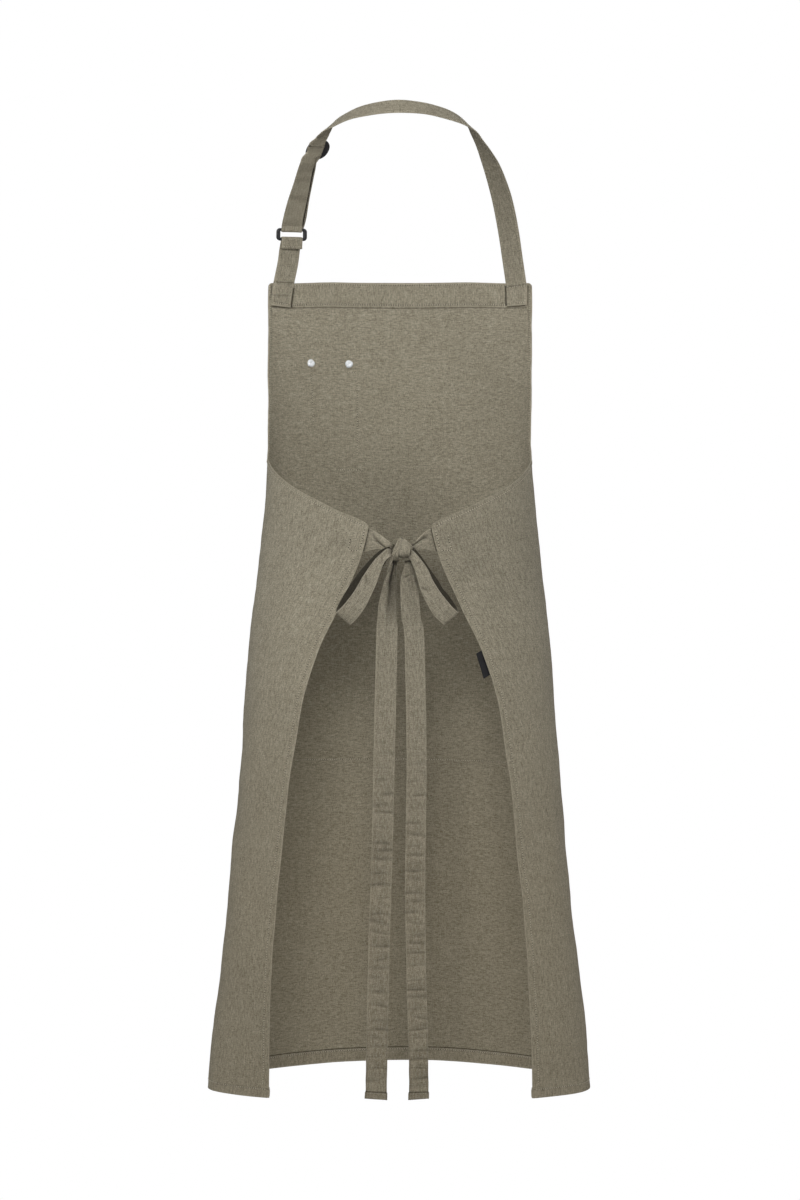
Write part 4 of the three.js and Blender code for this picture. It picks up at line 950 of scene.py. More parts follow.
right_end = sewn_end(1, [(136.0, -199.4, -0.05), (135.2, -188.0, -0.07), (134.2, -176.0, -0.1)])
WEAVE = [(-15, -1, 0.45, 16.9), (-11.5, -1, -1.5, 20.2), (-8.6, -1, -2.45, 22.7), (-6.6, -1, -2.5, 22.8), (-5.6, -1, -2.2, 22.0), (-5.0, -0.98, 0.75, 19.6),
         (-4.2, -0.3, 0.75, 19.6), (-3.4, 0.45, 0.75, 19.6), (-2.6, 0.85, 0.75, 19.6), (-1.6, 1, 0.75, 19.6), (1.6, 1, 0.75, 19.6), (2.6, 0.85, 0.75, 19.6),
         (3.4, 0.45, 0.75, 19.6), (4.2, -0.3, 0.75, 19.6), (5.0, -0.98, 0.75, 19.6), (6.0, -1, 0.2, 20.0), (8.6, -1, -0.4, 20.4), (11.5, -1, -1.2, 20.4), (15, -1, -2.2, 20.2)]
weave_stops = [slider.stop(s, c, o * weave_o, w) for s, o, c, w in WEAVE]
upper = route([*right_end, *stops(STRAP_RIGHT), weave_stops[0]], 8)
lower_rows = [weave_stops[-1], *stops(STRAP_LOWER), ring.stop(-bar_pitch / 2 - 3, 3.0, wrap)]
lower = route(lower_rows, 8)
turn = [ring.stop(-bar_pitch / 2 + wrap * math.sin(a), 0.2 + 2.1 * max(math.cos(a), 0) ** 10 + 0.8 * min(math.cos(a), 0), wrap * math.cos(a)) for a in np.linspace(0, math.pi, 13)]
return_rows = [ring.stop(-bar_pitch / 2 - 3, -0.6, -wrap)]
for i, r in enumerate(reversed(stops(STRAP_LOWER))):
    f = Place(r[0], lower_rows[3 - i][0] - lower_rows[max(0, 2 - i)][0], r[1])
    return_rows.append((f.point(0, -RETURN[i][1], -RETURN[i][0]), f.w, RETURN[i][2]))
return_rows.append(slider.stop(15, -7.05, -weave_o - STRAP_T - GAP - 0.6, 20.0))
back_up = route(return_rows, 8)
end_stops = [slider.stop(11, -7.2, -weave_o - STRAP_T - GAP - 0.2, 20.2), slider.stop(8, -6.95, -weave_o - STRAP_T - GAP, 19.7),
             slider.stop(5, -2.8, -weave_o - 0.9, 22.5), slider.stop(2.4, -1.05, -weave_o - 0.2, 21.9), slider.stop(0.2, -1.4, -weave_o - 0.05, 22.8),
             slider.stop(-2.6, -2.4, -weave_o - 0.35, 23.0), slider.stop(-4.6, -2.85, -weave_o - 1.05, 23.1)]

strap_noise = waves(61, 16, 30, 90, 0.22)
strap_rows = [*upper[:-1], *weave_stops, *lower[1:], *turn[1:], *back_up[1:], *end_stops]
strap = Ribbon(strap_rows, 1.0, 16, STRAP_T, lambda u, v, L: strap_noise(u, v * 12) * smooth((u - 40) / 40) * 0.8)


def strap_shade(u, v, L):
    """Painted shade: the two layers below the slider lie face to face, so hardly any light gets between them; also in
    soft creases, along the sewn line across the end, at the tucked end and a little over the strap's right run.
    """
    pair = smooth((u - (L - 205)) / 12) * smooth((L - 22 - u) / 14)
    tuck = 0.22 * np.exp(-((u - L) / 1.2) ** 2)
    shade_line = 0.5 * np.exp(-((u - 23.4) / 0.7) ** 2)
    soft = 0.20 * (np.exp(-((u - L + 46 + 3 * v) / 3.2) ** 2) + np.exp(-((u - L + 69 + 3 * v) / 3.0) ** 2))
    soft_right = 0.07 * smooth((u - 25) / 10) * smooth((170 - u) / 40)
    return soft + tuck, soft_right + 0.97 * pair * np.where(u < L - 105, smooth((0.93 - v) / 0.07), 1.0) + shade_line + tuck


# painted highlight along the sewn end's fold, and painted light over the near layer's seen face below the slider
ob = strap.build("neck_strap_cloth", STRAP_MAT, shade=strap_shade, ridge=(2.0, 0),
                 painted_light=lambda u, v, L: 0.55 * smooth((u - (L - 118)) / 14))
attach(ob, "root")
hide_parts("neck_strap")
L = float(strap.u[-1])
for v0, sd in ((-0.84, 70), (0.84, 71)):
    for side in (1, -1):
        pts, nrm = strap.row(v0, side, 3, L - 3)
        sew(pts, nrm, pitch=2.9, length=2.1, radius=0.2, seed=sd + 4 * (side > 0), holes=False)
pts, nrm = strap.cross_row(3.2, -1)
sew(pts, nrm, pitch=2.6, length=1.9, radius=0.26, seed=80)
pts, nrm = strap.cross_row(22.0, -1)
sew(pts, nrm, pitch=2.6, length=1.9, radius=0.26, seed=81)

# ------------------------------------------------------------------ ring strap
left_end = sewn_end(-1, [(139.6, -200.6, 0.08), (137.4, -188.6, 0.13), (134.8, -176.0, 0.18)])
RING_STRAP = [(-126.6, 128.6, -152.0, 0.94, 0.32, -0.12), (-124.6, 126.2, -138.0, 0.95, 0.31, -0.05)]
ring_route = route([*left_end, *stops(RING_STRAP), ring.stop(bar_pitch / 2 + 3, 0, wrap)], 8)
lower_turn = [ring.stop(bar_pitch / 2 - wrap * math.sin(a), 0, wrap * math.cos(a)) for a in np.linspace(0, math.pi, 13)]
fold_back = [ring.stop(bar_pitch / 2 + 3, 0, -wrap), ring.stop(bar_pitch / 2 + 6, 0, -wrap + 0.3), ring.stop(bar_pitch / 2 + 10.5, 0, -wrap + 0.6)]
ring_rib = Ribbon([*ring_route, *lower_turn[1:], *fold_back], 0.8, 16, STRAP_T)
# painted highlight along the sewn end's fold; painted shade along the line where the strap crosses the bib's top edge,
# in a crease and near the end
ob = ring_rib.build("ring_strap_cloth", STRAP_MAT, ridge=(2.0, 0),
                    shade=lambda u, v, L: (0.58 * np.exp(-((u - 28.7 - 1.8 * v) / 0.75) ** 2) + 0.30 * np.exp(-((u - 13.0 - 1.2 * np.sin(3 * v)) / 1.4) ** 2) * smooth((0.9 - v) / 0.5)
                                           + 0.22 * np.exp(-((u - 4.6) / 1.0) ** 2), 0 * u))
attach(ob, "root")
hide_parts("ring_strap")
L = float(ring_rib.u[-1])
pts, nrm = ring_rib.cross_row(L - 2.4, -1)
sew(pts, nrm, pitch=2.6, length=1.9, radius=0.27, seed=90)
pts, nrm = ring_rib.cross_row(3.0, 1)
sew(pts, nrm, pitch=2.6, length=1.9, radius=0.27, seed=91)
for v0 in (-0.84, 0.84):
    pts, nrm = ring_rib.row(v0, 1, 3, L - 28)
    sew(pts, nrm, pitch=2.9, length=2.1, radius=0.2, seed=94, holes=False)

def gap_shadow(pts, side, inward, rows):
    """A painted shadow: a dark strip laid on the cloth where a sewn-on strap's edge stands off it. pts: along the edge;
    rows of (past, out, dark).
    """
    grid, uv, wr, sh = [], [], [], []
    flat = np.linspace(90, 165, 301) * side
    flat = np.sort(flat)
    path = np.array([(np.interp(a[0], surface(flat, np.full_like(flat, a[2]))[:, 0], flat), a[2]) for a in pts])
    for past, out, dark in rows:
        q = path + np.asarray(inward, float) * past
        grid.append(surface(q[:, 0], q[:, 1], -out))
        uv.append(np.stack([q[:, 0] + 53.0, q[:, 1], np.full(len(q), 20.0)], -1))
        wr.append(np.zeros(len(q)))
        sh.append(np.full(len(q), dark))
    add_strip(np.array(grid), np.array(uv), np.array(wr), np.array(sh))


# painted shadows on the cloth along each sewn strap end's inner edge and bottom edge
for side, rib in ((-1, ring_rib), (1, strap)):
    n = int(np.searchsorted(rib.u, 25.5))
    gap_shadow(rib.mid[1:n, -1], side, (-side, 0.0), ((-1.4, 1.5, 0.86), (0.2, 1.55, 0.86), (0.9, 1.5, 0.70), (1.6, 1.4, 0.25), (2.3, 1.0, 0.0)))
    gap_shadow(rib.mid[0, 1:-1], side, (0.0, -1.0), ((-1.2, 1.5, 0.74), (0.1, 1.4, 0.72), (0.7, 1.0, 0.52), (1.3, 0.65, 0.2), (2.0, 0.35, 0.0)))
hems = make("turned_hems_and_painted_shadows", np.concatenate(hem_v), hem_f, CLOTH_MAT, {
    "weave": ("FLOAT_VECTOR", np.concatenate(hem_uv) * MM), "wear_and_painted_light": ("FLOAT", np.concatenate(hem_w)),
    "shade": ("FLOAT", np.concatenate(hem_s_))})
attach(hems, "root")


# ------------------------------------------------------------------ slider and ring
def rounded(w, h, r, n=8, left=None):
    q = left or r
    pts = []
    for cx, cy, a0, c in ((w / 2 - r, h / 2 - r, 0, r), (-w / 2 + q, h / 2 - q, 90, q), (-w / 2 + q, -h / 2 + q, 180, q), (w / 2 - r, -h / 2 + r, 270, r)):
        for k in range(n + 1):
            a = math.radians(a0 + 90 * k / n)
            pts.append((cx + c * math.cos(a), cy + c * math.sin(a)))
    return pts


def moulding(name, outer, inner, thick, bevel, place, material, bar=None):
    """A flat loop with rounded rims, swept between its outer and inner outlines, with an optional bar across its middle."""
    O, I = np.array(outer), np.array(inner)
    t = np.linspace(0, 2 * math.pi, 24, endpoint=False)
    sq = lambda v: np.sign(v) * np.abs(v) ** 0.5
    verts = []
    for o, i in zip(O, I):
        half = np.linalg.norm(o - i) / 2
        d = (o - i) / (2 * half)
        c = (o + i) / 2
        b = min(bevel, half * 0.98)
        k = np.clip((half - b) * np.sign(np.round(np.cos(t), 6)), -half, half) + b * np.cos(t)
        h = (thick / 2 - min(b, thick / 2)) * np.sign(np.round(np.sin(t), 6)) + min(b, thick / 2) * np.sin(t)
        verts.append(np.stack([c[0] + d[0] * k, c[1] + d[1] * k, h], 1))
    V = np.array(verts)
    n, m = V.shape[:2]
    faces = (grid_faces(n + 1, m, 0, False, True) % (n * m)).tolist()
    V = V.reshape(-1, 3)
    if bar:
        x0, x1, hw = bar
        r = 0.9
        cs = np.stack([(hw - r) * np.sign(np.round(np.cos(t), 6)) + r * np.cos(t), (thick / 2 - r) * np.sign(np.round(np.sin(t), 6)) + r * np.sin(t)], 1)
        rod = np.array([[(x, y, z) for y, z in cs] for x in np.linspace(x0, x1, 12)])
        faces += (grid_faces(12, m, len(V), True, True)).tolist()
        V = np.concatenate([V, rod.reshape(-1, 3)])
    world = place.at + V @ np.stack([place.w, place.t, place.n])
    return make(name, world, faces, material)


BEV = 0.85
slot_h = (SLIDER["height"] - 3 * SLIDER["bar"]) / 2
out_line = [(x + SLIDER["aside"], y) for x, y in rounded(SLIDER["length"], SLIDER["height"], SLIDER["round"], 12)]
in_line = [(x + SLIDER["slot_at"], y) for x, y in rounded(SLIDER["slot"], SLIDER["height"] - 2 * SLIDER["bar"], 1.2, 12, SLIDER["slot_round"])]
ob = moulding("slider_moulding", out_line, in_line, SLIDER["thick"], BEV, slider, BUCKLE_MAT,
              (SLIDER["slot_at"] - SLIDER["slot"] / 2 - 0.8, SLIDER["slot_at"] + SLIDER["slot"] / 2 + 0.8, SLIDER["bar"] / 2))
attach(ob, "root")
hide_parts("slider_buckle")

ring_out = rounded(RING["length"], RING["height"], RING["round"], 10)
ring_in = rounded(RING["length"] - 2 * RING["end"], RING["height"] - 2 * RING["bar"], 1.4, 10)
ob = moulding("ring_moulding", ring_out, ring_in, RING["thick"], 1.3, ring, BUCKLE_MAT)
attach(ob, "root")
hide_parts("strap_ring")

# ------------------------------------------------------------------ rivets
for name, p0, z0, sd in (("rivet_left", -104.7, -263.7, 1), ("rivet_right", -58.9, -263.5, 2)):
    c = surface(p0, z0)
    n = surface_normal(p0, z0)
    a = unit(np.cross(n, np.array([0, 0, 1.0])))
    b = np.cross(n, a)
    seat = WALL / 2 + GAP * 0.3
    prof = [(0.0, -seat - 0.75), (0.7, -seat - 0.80), (1.15, -seat - 1.10), (1.7, -seat - 1.45), (2.5, -seat - 1.52), (3.3, -seat - 1.35),
            (3.95, -seat - 0.95), (4.35, -seat - 0.45), (4.42, -seat - 0.1), (4.2, -seat), (1.4, -seat), (1.4, seat), (4.3, seat),
            (4.5, seat + 0.15), (4.42, seat + 0.6), (3.9, seat + 1.1), (2.8, seat + 1.45), (1.4, seat + 1.6), (0.0, seat + 1.65)]
    g = np.random.default_rng(sd)
    m = 40
    th = np.linspace(0, 2 * math.pi, m, endpoint=False)
    wob = 1 + 0.035 * np.sin(3 * th + sd) + 0.025 * np.sin(5 * th + 2 * sd)
    grid = np.array([[c + a * (rr * (wob[k] if oo < -seat else 1.0) * math.cos(th[k])) + b * (rr * (wob[k] if oo < -seat else 1.0) * math.sin(th[k])) + n * oo for k in range(m)] for rr, oo in prof])
    ob = make(name + "_metal", grid.reshape(-1, 3), grid_faces(len(prof), m, 0, False, True), METAL_MAT)
    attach(ob, "root")
    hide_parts(name)

# ------------------------------------------------------------------ waist ties
TIE_FREE = [(24.0, 0.3, -46.2, -469.4, 0.26, 16.0), (16.3, 0.8, -50.2, -473.4, 0.42, 10.4), (9.9, 1.0, -52.0, -476.6, 0.48, 8.4)]


# relief away from the viewer is +N on the left tie and -N on the right one
def tie_relief_left(u, v, L):
    line = 0.29 - 0.0475 * (u - 23.2)
    on = smooth((u - 20) / 7)
    return on * (1.9 * np.exp(-((v - line) / 0.20) ** 2) - 1.4 * np.exp(-((v - line - 0.5) / 0.36) ** 2) - 0.3 * np.exp(-((v - line + 0.5) / 0.3) ** 2))


def tie_relief_right(u, v, L):
    line = 0.33 + 0.013 * (u - 23.2)
    on = smooth((u - 20) / 6)
    return -on * (1.5 * np.exp(-((v - line) / 0.18) ** 2) - 1.3 * np.exp(-((v - line - 0.42) / 0.30) ** 2) - 0.6 * np.exp(-((v - line + 0.5) / 0.3) ** 2))


# painted shade on the ties: in each tie's crease and where its end goes under the knot
def tie_shade_left(u, v, L):
    line = 0.29 - 0.0475 * (u - 23.2)
    return 0 * u, 0.74 * smooth((u - 21) / 9) * np.exp(-((v - line) / 0.16) ** 2) + 0.78 * smooth((u - L + 7) / 7)


def tie_shade_right(u, v, L):
    line = 0.33 + 0.013 * (u - 23.2)
    return 0.55 * smooth((u - 19) / 6) * np.exp(-((v - line) / 0.14) ** 2) + 0.6 * smooth((u - L + 7) / 7), 0 * u


for side, name, relief, shade in ((-1, "tie_left", tie_relief_left, tie_shade_left), (1, "tie_right", tie_relief_right, tie_shade_right)):
    rows = []
    for p0 in (360, 368, 377):
        z0 = CORNER_Z - TIE_SEAM_H / 2
        at = surface(side * p0, z0) - surface_normal(side * p0, z0) * (WALL / 2 + GAP + SEWN_SAG + STRAP_T / 2)
        rows.append((at, unit(np.array([-0.05 * side, 0, 1.0])), TIE_W + 1.5))
    for (off, share, y, z, lean, w) in TIE_FREE:
        rows.append((np.array([side * off + KNOT["x"] * share, y, z]), unit(np.array([-side * lean, 0, 1.0])), w))
    rib = Ribbon(route(rows, 10), 0.7, 34, STRAP_T, relief)
    # painted shade: a dark line on the tie just out from under the panel's edge
    past = (rib.mid[..., 0] - surface(np.full(rib.mid.shape[:2], side * FLAT_HALF_W), rib.mid[..., 2])[..., 0]) * -side
    shade_line = 0.76 * smooth((1.7 - past) / 1.1)
    ob = rib.build(name + "_cloth", STRAP_MAT, shade=lambda u, v, L: tuple(d + shade_line for d in shade(u, v, L)))
    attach(ob, "root")
    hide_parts(name)

# ------------------------------------------------------------------ bow loops
LOOP_LEFT = [
    (-6.8, -62.4, -482.6, 0.25, -0.25, -0.93, 7), (-12.0, -66.2, -481.4, 0.24, -0.25, -0.94, 9.5),
    (-18.4, -69.0, -487.3, 0.34, -0.25, -0.91, 10.8), (-24.6, -70.6, -496.9, 0.58, -0.22, -0.78, 14),
    (-32.2, -71.8, -511.1, 0.80, -0.18, -0.57, 16.6), (-41.0, -72.0, -527.9, 0.84, -0.12, -0.53, 18.6),
    (-50.1, -71.2, -541.1, 0.77, -0.06, -0.63, 20), (-57.4, -69.2, -548.6, 0.74, -0.02, -0.67, 20),
    (-59.9, -66.2, -550.4, 0.74, 0.0, -0.67, 20), (-58.9, -63.4, -545.6, 0.76, 0.0, -0.65, 20),
    (-50.9, -62.6, -531.0, 0.82, 0.08, -0.57, 20), (-43.6, -62.8, -519.2, 0.80, 0.08, -0.60, 19.5),
    (-36.2, -63.2, -507.9, 0.75, 0.05, -0.66, 18.5), (-26.8, -63.2, -495.8, 0.70, 0.0, -0.71, 17),
    (-17.6, -61.5, -484.2, 0.60, 0.0, -0.80, 13), (-9.0, -58.8, -478.4, 0.50, 0.0, -0.87, 9)]
LOOP_RIGHT = [
    (10.2, -62.6, -484.6, 0.25, 0.25, 0.93, 7), (11.9, -66.2, -483.6, 0.24, 0.25, 0.94, 10),
    (18.1, -69.2, -492.6, 0.58, 0.25, 0.78, 11.8), (23.6, -71.0, -503.5, 0.78, 0.20, 0.60, 14.6),
    (27.8, -71.8, -514.5, 0.86, 0.18, 0.50, 16), (34.4, -72.0, -527.1, 0.89, 0.12, 0.44, 18.2),
    (43.1, -71.2, -540.3, 0.81, 0.06, 0.58, 20.4), (51.4, -69.2, -548.8, 0.76, 0.02, 0.65, 20),
    (53.8, -66.2, -550.8, 0.75, 0.0, 0.66, 20), (52.4, -63.4, -545.8, 0.77, 0.0, 0.64, 20),
    (44.6, -62.6, -533.9, 0.80, -0.08, 0.60, 20), (36.8, -62.8, -523.8, 0.84, -0.08, 0.54, 19.5),
    (32.0, -63.2, -514.6, 0.82, -0.05, 0.57, 18.5), (25.4, -63.2, -504.4, 0.79, 0.0, 0.61, 17),
    (18.9, -61.5, -491.0, 0.70, 0.0, 0.70, 13), (13.6, -58.8, -480.8, 0.60, 0.0, 0.80, 9)]
loop_noise = waves(71, 14, 14, 40, 0.25)


def loop_relief(shift):
    def dent(u, v, u0, v0, slope, wide, long, deep):
        return deep * np.exp(-((u - u0 - slope * (v - v0)) / wide) ** 2) * np.exp(-((v - v0) / long) ** 2)

    def f(u, v, L):
        near = smooth((20 - u) / 16)
        far = smooth((u - (L - 22)) / 20)
        pleat = 0.5 * np.sin(4.4 * v + 0.7 + shift) * (near + far)
        out = dent(u, v, 17, 0.2, 2.0, 1.3, 0.55, 0.9) - dent(u, v, 20, 0.2, 2.0, 2.0, 0.7, 0.5)
        out = out + dent(u, v, 30, -0.1, 3.0, 1.4, 0.5, 0.6) - dent(u, v, 33, 0, 3.0, 2.5, 0.7, 0.4)
        out = out + dent(u, v, 44, -0.45, 7.0, 2.2, 0.42, 1.5) - dent(u, v, 49.5, -0.3, 7.0, 3.2, 0.6, 0.8)
        return pleat + out + loop_noise(u + 100 * shift, v * 10) * smooth(u / 20) * smooth((L - u) / 20)
    return f


def loop_shade(u, v, L):
    """Painted shade: the loop's inside is out of the light; the seen face is a little darker all over, much darker
    where it leaves the knot, and darker in two dents.
    """
    tip = np.exp(-((u - 0.5 * L) / 7.0) ** 2)
    return 0.90 * (1 - 0.35 * tip) + 0 * u, 0.07 + 0.72 * np.exp(-(u / 5.0) ** 2) + 0.42 * np.exp(-((u - 17 - 2.0 * (v - 0.2)) / 1.2) ** 2) * np.exp(-((v - 0.2) / 0.5) ** 2) + 0.42 * np.exp(-((u - 44 - 7.0 * (v + 0.45)) / 1.8) ** 2) * np.exp(-((v + 0.45) / 0.4) ** 2)


for name, rows, sh in (("bow_loop_left", LOOP_LEFT, 0), ("bow_loop_right", LOOP_RIGHT, 1)):
    rib = Ribbon(route(stops(rows), 8), 0.9, 26, STRAP_T, loop_relief(sh))
    ob = rib.build(name + "_cloth", STRAP_MAT, shade=loop_shade)
    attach(ob, "root")
    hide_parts(name)

# ------------------------------------------------------------------ knot: the tie's middle, wrapped over the bow in pleats
knot_v, knot_f, knot_a, knot_n = [], [], {"weave": [], "wear_and_painted_light": [], "shade": []}, 0


def knot_part(verts, faces, weave, wear_and_painted_light, shade):
    global knot_n
    knot_v.append(verts)
    knot_f.extend((np.asarray(faces) + knot_n).tolist())
    for key, data in (("weave", weave), ("wear_and_painted_light", wear_and_painted_light), ("shade", shade)):
        knot_a[key].append(data)
    knot_n += len(verts)


def px(x, y, depth):
    """A place given where it shows at the waist's level: picture column and row, and depth."""
    k = (2742.6 + depth) / 2545.45
    return ((x - 400.0) * k, depth, -531.06 + (600.0 - y) * k)


def wrap_band(rows, seed, thick=1.0, puff=0.0, dark=(0.85, 0.85), sides=(0.0, 0.0), under=5.5):
    """One pleat of the knot: rows of place, width direction and width."""
    g = waves(seed, 10, 6, 16, 0.22)
    rib = Ribbon(route([(np.array(p, float), unit(np.array(w, float)), d) for p, w, d in rows], 8), 0.6, 18, thick,
                 lambda u, v, L: g(u, v * 5) - puff * (1 - v * v))
    outer = rib.mid + rib.normal * rib.h[None, :, None]
    inner = rib.mid - rib.normal * rib.h[None, :, None]
    verts, faces = closed(outer, inner)
    across = rib.v[None] * rib.D[:, None] / 2
    along = np.repeat(rib.u[:, None], len(rib.v), 1)
    weave = np.stack([across + seed, along, np.zeros_like(across)], -1).reshape(-1, 3)
    # paler edges: wear and painted highlights
    wear_and_painted_light = np.repeat(smooth((np.abs(rib.v) - 0.72) / 0.22)[None], len(rib.u), 0).ravel()
    L = rib.u[-1]
    # painted shade: dark where the pleat's ends go under, on the sides where neighbouring pleats would shade it, and
    # over its whole inner face
    ends = dark[0] * smooth((4.5 - along) / 4.5) + dark[1] * smooth((along - L + under) / under)
    ends = (ends + sides[0] * smooth((-rib.v - 0.40) / 0.45)[None] + sides[1] * smooth((rib.v - 0.40) / 0.45)[None]).ravel()
    knot_part(verts, faces, np.concatenate([weave, weave]), np.concatenate([wear_and_painted_light, wear_and_painted_light]), np.concatenate([0 * wear_and_painted_light + 0.6, np.clip(ends, 0, 0.85)]))


# the core that the pleats lie on, painted dark as the shade in the gaps between them
th, ph = np.meshgrid(np.linspace(0.02, math.pi - 0.02, 24), np.linspace(0, 2 * math.pi, 32, endpoint=False), indexing="ij")
core = np.stack([KNOT["x"] + 0.3 + 6.4 * np.sin(th) * np.cos(ph), KNOT["y"] + 0.6 + 6.2 * np.sin(th) * np.sin(ph), KNOT["z"] - 0.6 + 8.6 * np.cos(th)], -1)
core_faces = grid_faces(24, 32, 0, True, True).tolist()
core_faces = [list(f) for f in core_faces] + [list(range(32)), list(range(23 * 32 + 31, 23 * 32 - 1, -1))]
for f in core_faces:
    knot_f.append([i + knot_n for i in f])
knot_v.append(core.reshape(-1, 3))
knot_a["weave"].append(np.stack([ph * 6, th * 8, 0 * th], -1).reshape(-1, 3))
knot_a["wear_and_painted_light"].append(np.zeros(core[..., 0].size))
knot_a["shade"].append(np.full(core[..., 0].size, 0.86))
knot_n += core[..., 0].size
# the broad face, fanning out from the top over the front and round under
wrap_band([(px(402.6, 539.8, -52.0), (0.9, 0.3, -0.2), 4.0), (px(403.4, 540.4, -58.5), (0.92, 0.2, -0.25), 4.6), (px(404.0, 543.4, -63.6), (0.95, 0.1, -0.22), 8.2),
           (px(404.2, 547.8, -66.6), (0.98, 0.06, -0.14), 11.6), (px(403.9, 552.0, -66.8), (1, 0, -0.04), 12.4),
           (px(403.5, 555.0, -64.6), (1, 0, 0.0), 12.0), (px(403.4, 557.0, -59.6), (1, 0, 0), 10.5), (px(403.6, 556.6, -53.0), (1, 0, 0), 9.0)], 3, 1.1, 0.5,
          sides=(0.30, 0.10), under=13.0)
# two narrow pleats to its left, running down into the left tail
wrap_band([(px(402.2, 539.2, -54.0), (0.9, 0.3, -0.1), 3.2), (px(402.3, 540.6, -60.0), (0.93, 0.2, -0.3), 3.2), (px(400.8, 545.4, -64.0), (0.92, 0.05, -0.38), 3.2),
           (px(398.5, 550.6, -65.4), (0.93, 0, -0.36), 3.6), (px(396.9, 555.4, -64.6), (0.96, 0, -0.28), 4.2), (px(396.4, 559.4, -61.0), (0.98, 0, -0.2), 4.6), (px(396.6, 561.0, -57.5), (1, 0, 0), 4.6)], 5, 1.0, 0.3, sides=(0.0, 0.62))
wrap_band([(px(401.0, 538.6, -53.0), (0.85, 0.3, -0.2), 3.6), (px(400.6, 539.4, -59.0), (0.88, 0.2, -0.36), 4.2), (px(398.4, 543.8, -63.4), (0.9, 0.05, -0.42), 4.4),
           (px(396.0, 549.4, -65.2), (0.9, 0, -0.43), 4.2), (px(393.5, 554.6, -65.0), (0.9, 0, -0.42), 3.6), (px(391.6, 560.0, -63.4), (0.92, 0, -0.38), 3.0), (px(389.4, 566.0, -62.0), (0.93, 0, -0.34), 2.6), (px(387.2, 573.0, -60.8), (0.94, 0, -0.30), 1.8)], 7, 0.9, 0.4, (0.85, 0.10), sides=(0.0, 0.55))
# the strand that runs over to the right tie
wrap_band([(px(401.4, 538.9, -57.0), (0.4, 0.2, 0.9), 3.2), (px(404.2, 540.6, -59.6), (0.5, 0.1, 0.86), 3.4), (px(407.6, 543.8, -59.8), (0.55, 0.1, 0.83), 3.8),
           (px(410.8, 547.2, -57.6), (0.5, 0.1, 0.86), 4.4), (px(413.2, 549.6, -53.6), (0.45, 0.1, 0.89), 5.0)], 9, 1.0, 0.2)
ob = make("knot_cloth", np.concatenate(knot_v), knot_f, STRAP_MAT, {
    "weave": ("FLOAT_VECTOR", np.concatenate(knot_a["weave"]) * MM), "wear_and_painted_light": ("FLOAT", np.concatenate(knot_a["wear_and_painted_light"])),
    "shade": ("FLOAT", np.concatenate(knot_a["shade"]))})
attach(ob, "root")
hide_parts("tie_knot")

# ------------------------------------------------------------------ side tab
LABEL = dict(thick=1.0, out=7.0, under=7.0, top=-583.9, bottom=-609.4, flare=0.26)
inset = WALL / 2 + GAP + SEWN_SAG + LABEL["thick"] / 2
tz = np.linspace(LABEL["top"], LABEL["bottom"], 34)
tp = np.linspace(FLAT_HALF_W - LABEL["under"], FLAT_HALF_W + LABEL["out"], 22)
PZ, PP = np.meshgrid(tz, tp, indexing="ij")
PP = FLAT_HALF_W + (PP - FLAT_HALF_W) * np.where(PP > FLAT_HALF_W, 1 + LABEL["flare"] * (LABEL["top"] - PZ) / (LABEL["top"] - LABEL["bottom"]), 1)
PZ = PZ - 0.42 * (PP - FLAT_HALF_W + 2.0)
q = np.broadcast_to(np.linspace(0, 1, 22), PP.shape)
half_t = 0.5 * (0.86 + 0.14 * np.cos(PZ * 0.5)) * np.sqrt(np.clip(1 - np.clip((q - 0.86) / 0.14, 0, 1) ** 2, 0.02, 1))
curl = 0.5 * smooth((q - 0.5) / 0.5) * np.sin((PZ - LABEL["top"]) / 25.5 * 2.4)
verts, faces = closed(surface(PP, PZ, -inset + half_t + curl), surface(PP, PZ, -inset - half_t + curl))
tw = np.stack([PP, PZ, np.zeros_like(PP)], -1).reshape(-1, 3)
tw = np.concatenate([tw, tw + np.array([40.0, 0, 10])])
ob = make("side_tab", verts, faces, TAB_MAT, {"weave": ("FLOAT_VECTOR", tw * MM)})
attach(ob, "root")
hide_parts("label_tab")

# ------------------------------------------------------------------ all stitches as one piece
stitching = make("stitching", np.concatenate(thread_verts), thread_faces, THREAD_MAT, {"darkening": ("FLOAT", np.concatenate(thread_darkening))})
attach(stitching, "root")

# ------------------------------------------------------------------ stage and light
def white(name, strength):
    m = bpy.data.materials.new(name)
    m.use_nodes = True
    t = m.node_tree
    t.nodes.remove(t.nodes["Principled BSDF"])
    e = t.nodes.new("ShaderNodeEmission")
    e.inputs["Color"].default_value = (1, 1, 1, 1)
    e.inputs["Strength"].default_value = strength
    t.links.new(e.outputs[0], t.nodes["Material Output"].inputs["Surface"])
    return m


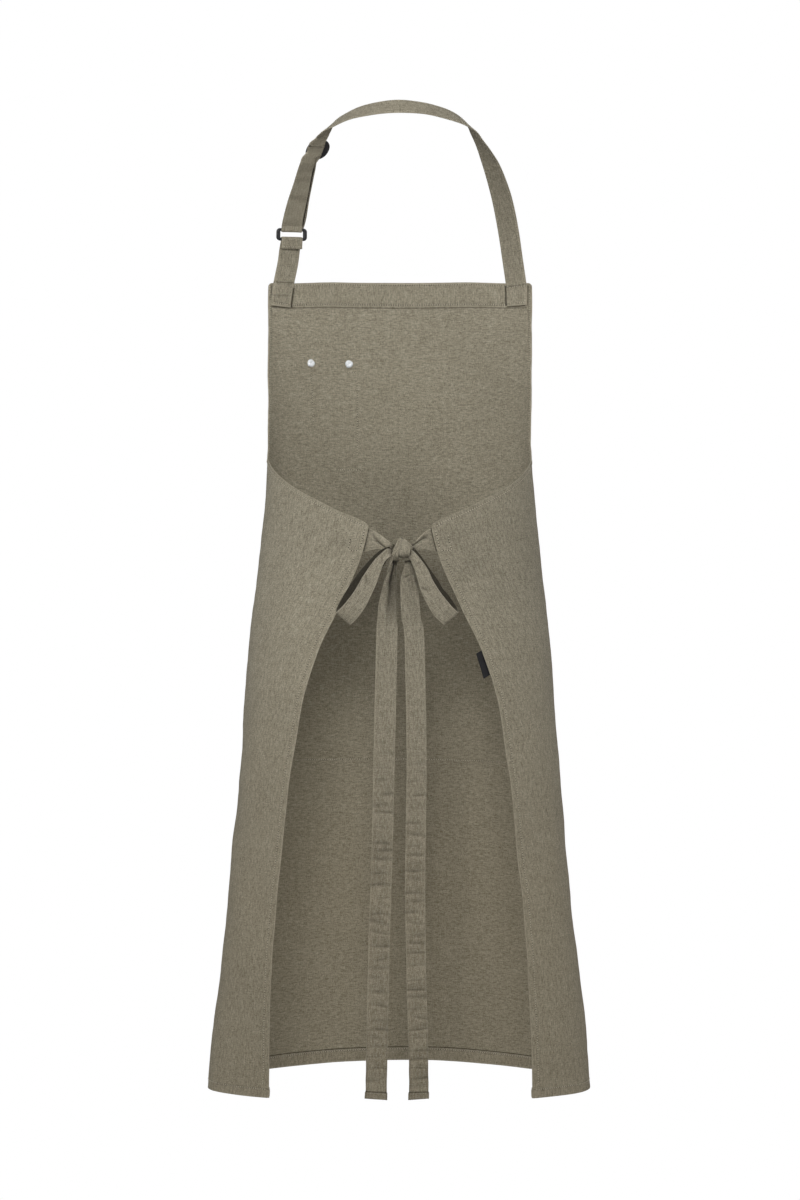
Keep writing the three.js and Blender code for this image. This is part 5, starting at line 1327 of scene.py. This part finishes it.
def stage_piece(name, verts, faces, material):
    me = bpy.data.meshes.new(name)
    me.from_pydata(verts, [], faces)
    me.materials.append(material)
    ob = bpy.data.objects.new(name, me)
    scene.collection.objects.link(ob)
    ob.visible_diffuse = ob.visible_glossy = ob.visible_transmission = ob.visible_shadow = False
    return ob


floor = stage_piece("floor", [(-30, -30, -1.5), (30, -30, -1.5), (30, 30, -1.5), (-30, 30, -1.5)], [(0, 1, 2, 3)], white("floor_white", 1.0))
q = 30.0
stage_piece("backdrop", [(-q, -q, -1.6), (q, -q, -1.6), (q, q, -1.6), (-q, q, -1.6), (-q, -q, q), (q, -q, q), (q, q, q), (-q, q, q)],
            [(0, 1, 5, 4), (1, 2, 6, 5), (2, 3, 7, 6), (3, 0, 4, 7), (4, 5, 6, 7)], white("backdrop_white", 1.0))

world = bpy.data.worlds.new("studio")
scene.world = world
world.use_nodes = True
world.node_tree.nodes["Background"].inputs["Color"].default_value = (1.0, 1.0, 1.0, 1)
world.node_tree.nodes["Background"].inputs["Strength"].default_value = 0.31


def softbox(name, at, to, size, watts):
    d = bpy.data.lights.new(name, "AREA")
    d.shape = "RECTANGLE"
    d.size, d.size_y = size
    d.energy = watts
    ob = bpy.data.objects.new(name, d)
    scene.collection.objects.link(ob)
    ob.location = at
    ob.rotation_euler = (Vector(to) - Vector(at)).to_track_quat("-Z", "Y").to_euler()
    ob.visible_camera = False
    return ob


softbox("key", (-0.2, -2.8, 0.45), (0, 0.1, -0.5), (0.9, 0.7), 36.0)
softbox("side_left", (-2.1, -1.3, 0.35), (0, 0.05, -0.6), (0.9, 1.3), 13.0)
softbox("side_right", (2.2, -1.2, 0.1), (0, 0.05, -0.7), (0.9, 1.3), 11.5)
softbox("top", (-0.2, -0.8, 1.25), (0, 0.0, -0.5), (1.3, 1.0), 6.0)
softbox("inside", (0, -0.022, -0.82), (0, 0.2, -0.82), (0.26, 0.46), 0.17)
softbox("front", (0.6, 2.6, 0.6), (0, 0.1, -0.5), (1.6, 1.6), 22.0)

scene.view_settings.view_transform = "Standard"
scene.view_settings.look = "None"
scene.view_settings.exposure = 0.0
scene.view_settings.gamma = 1.0
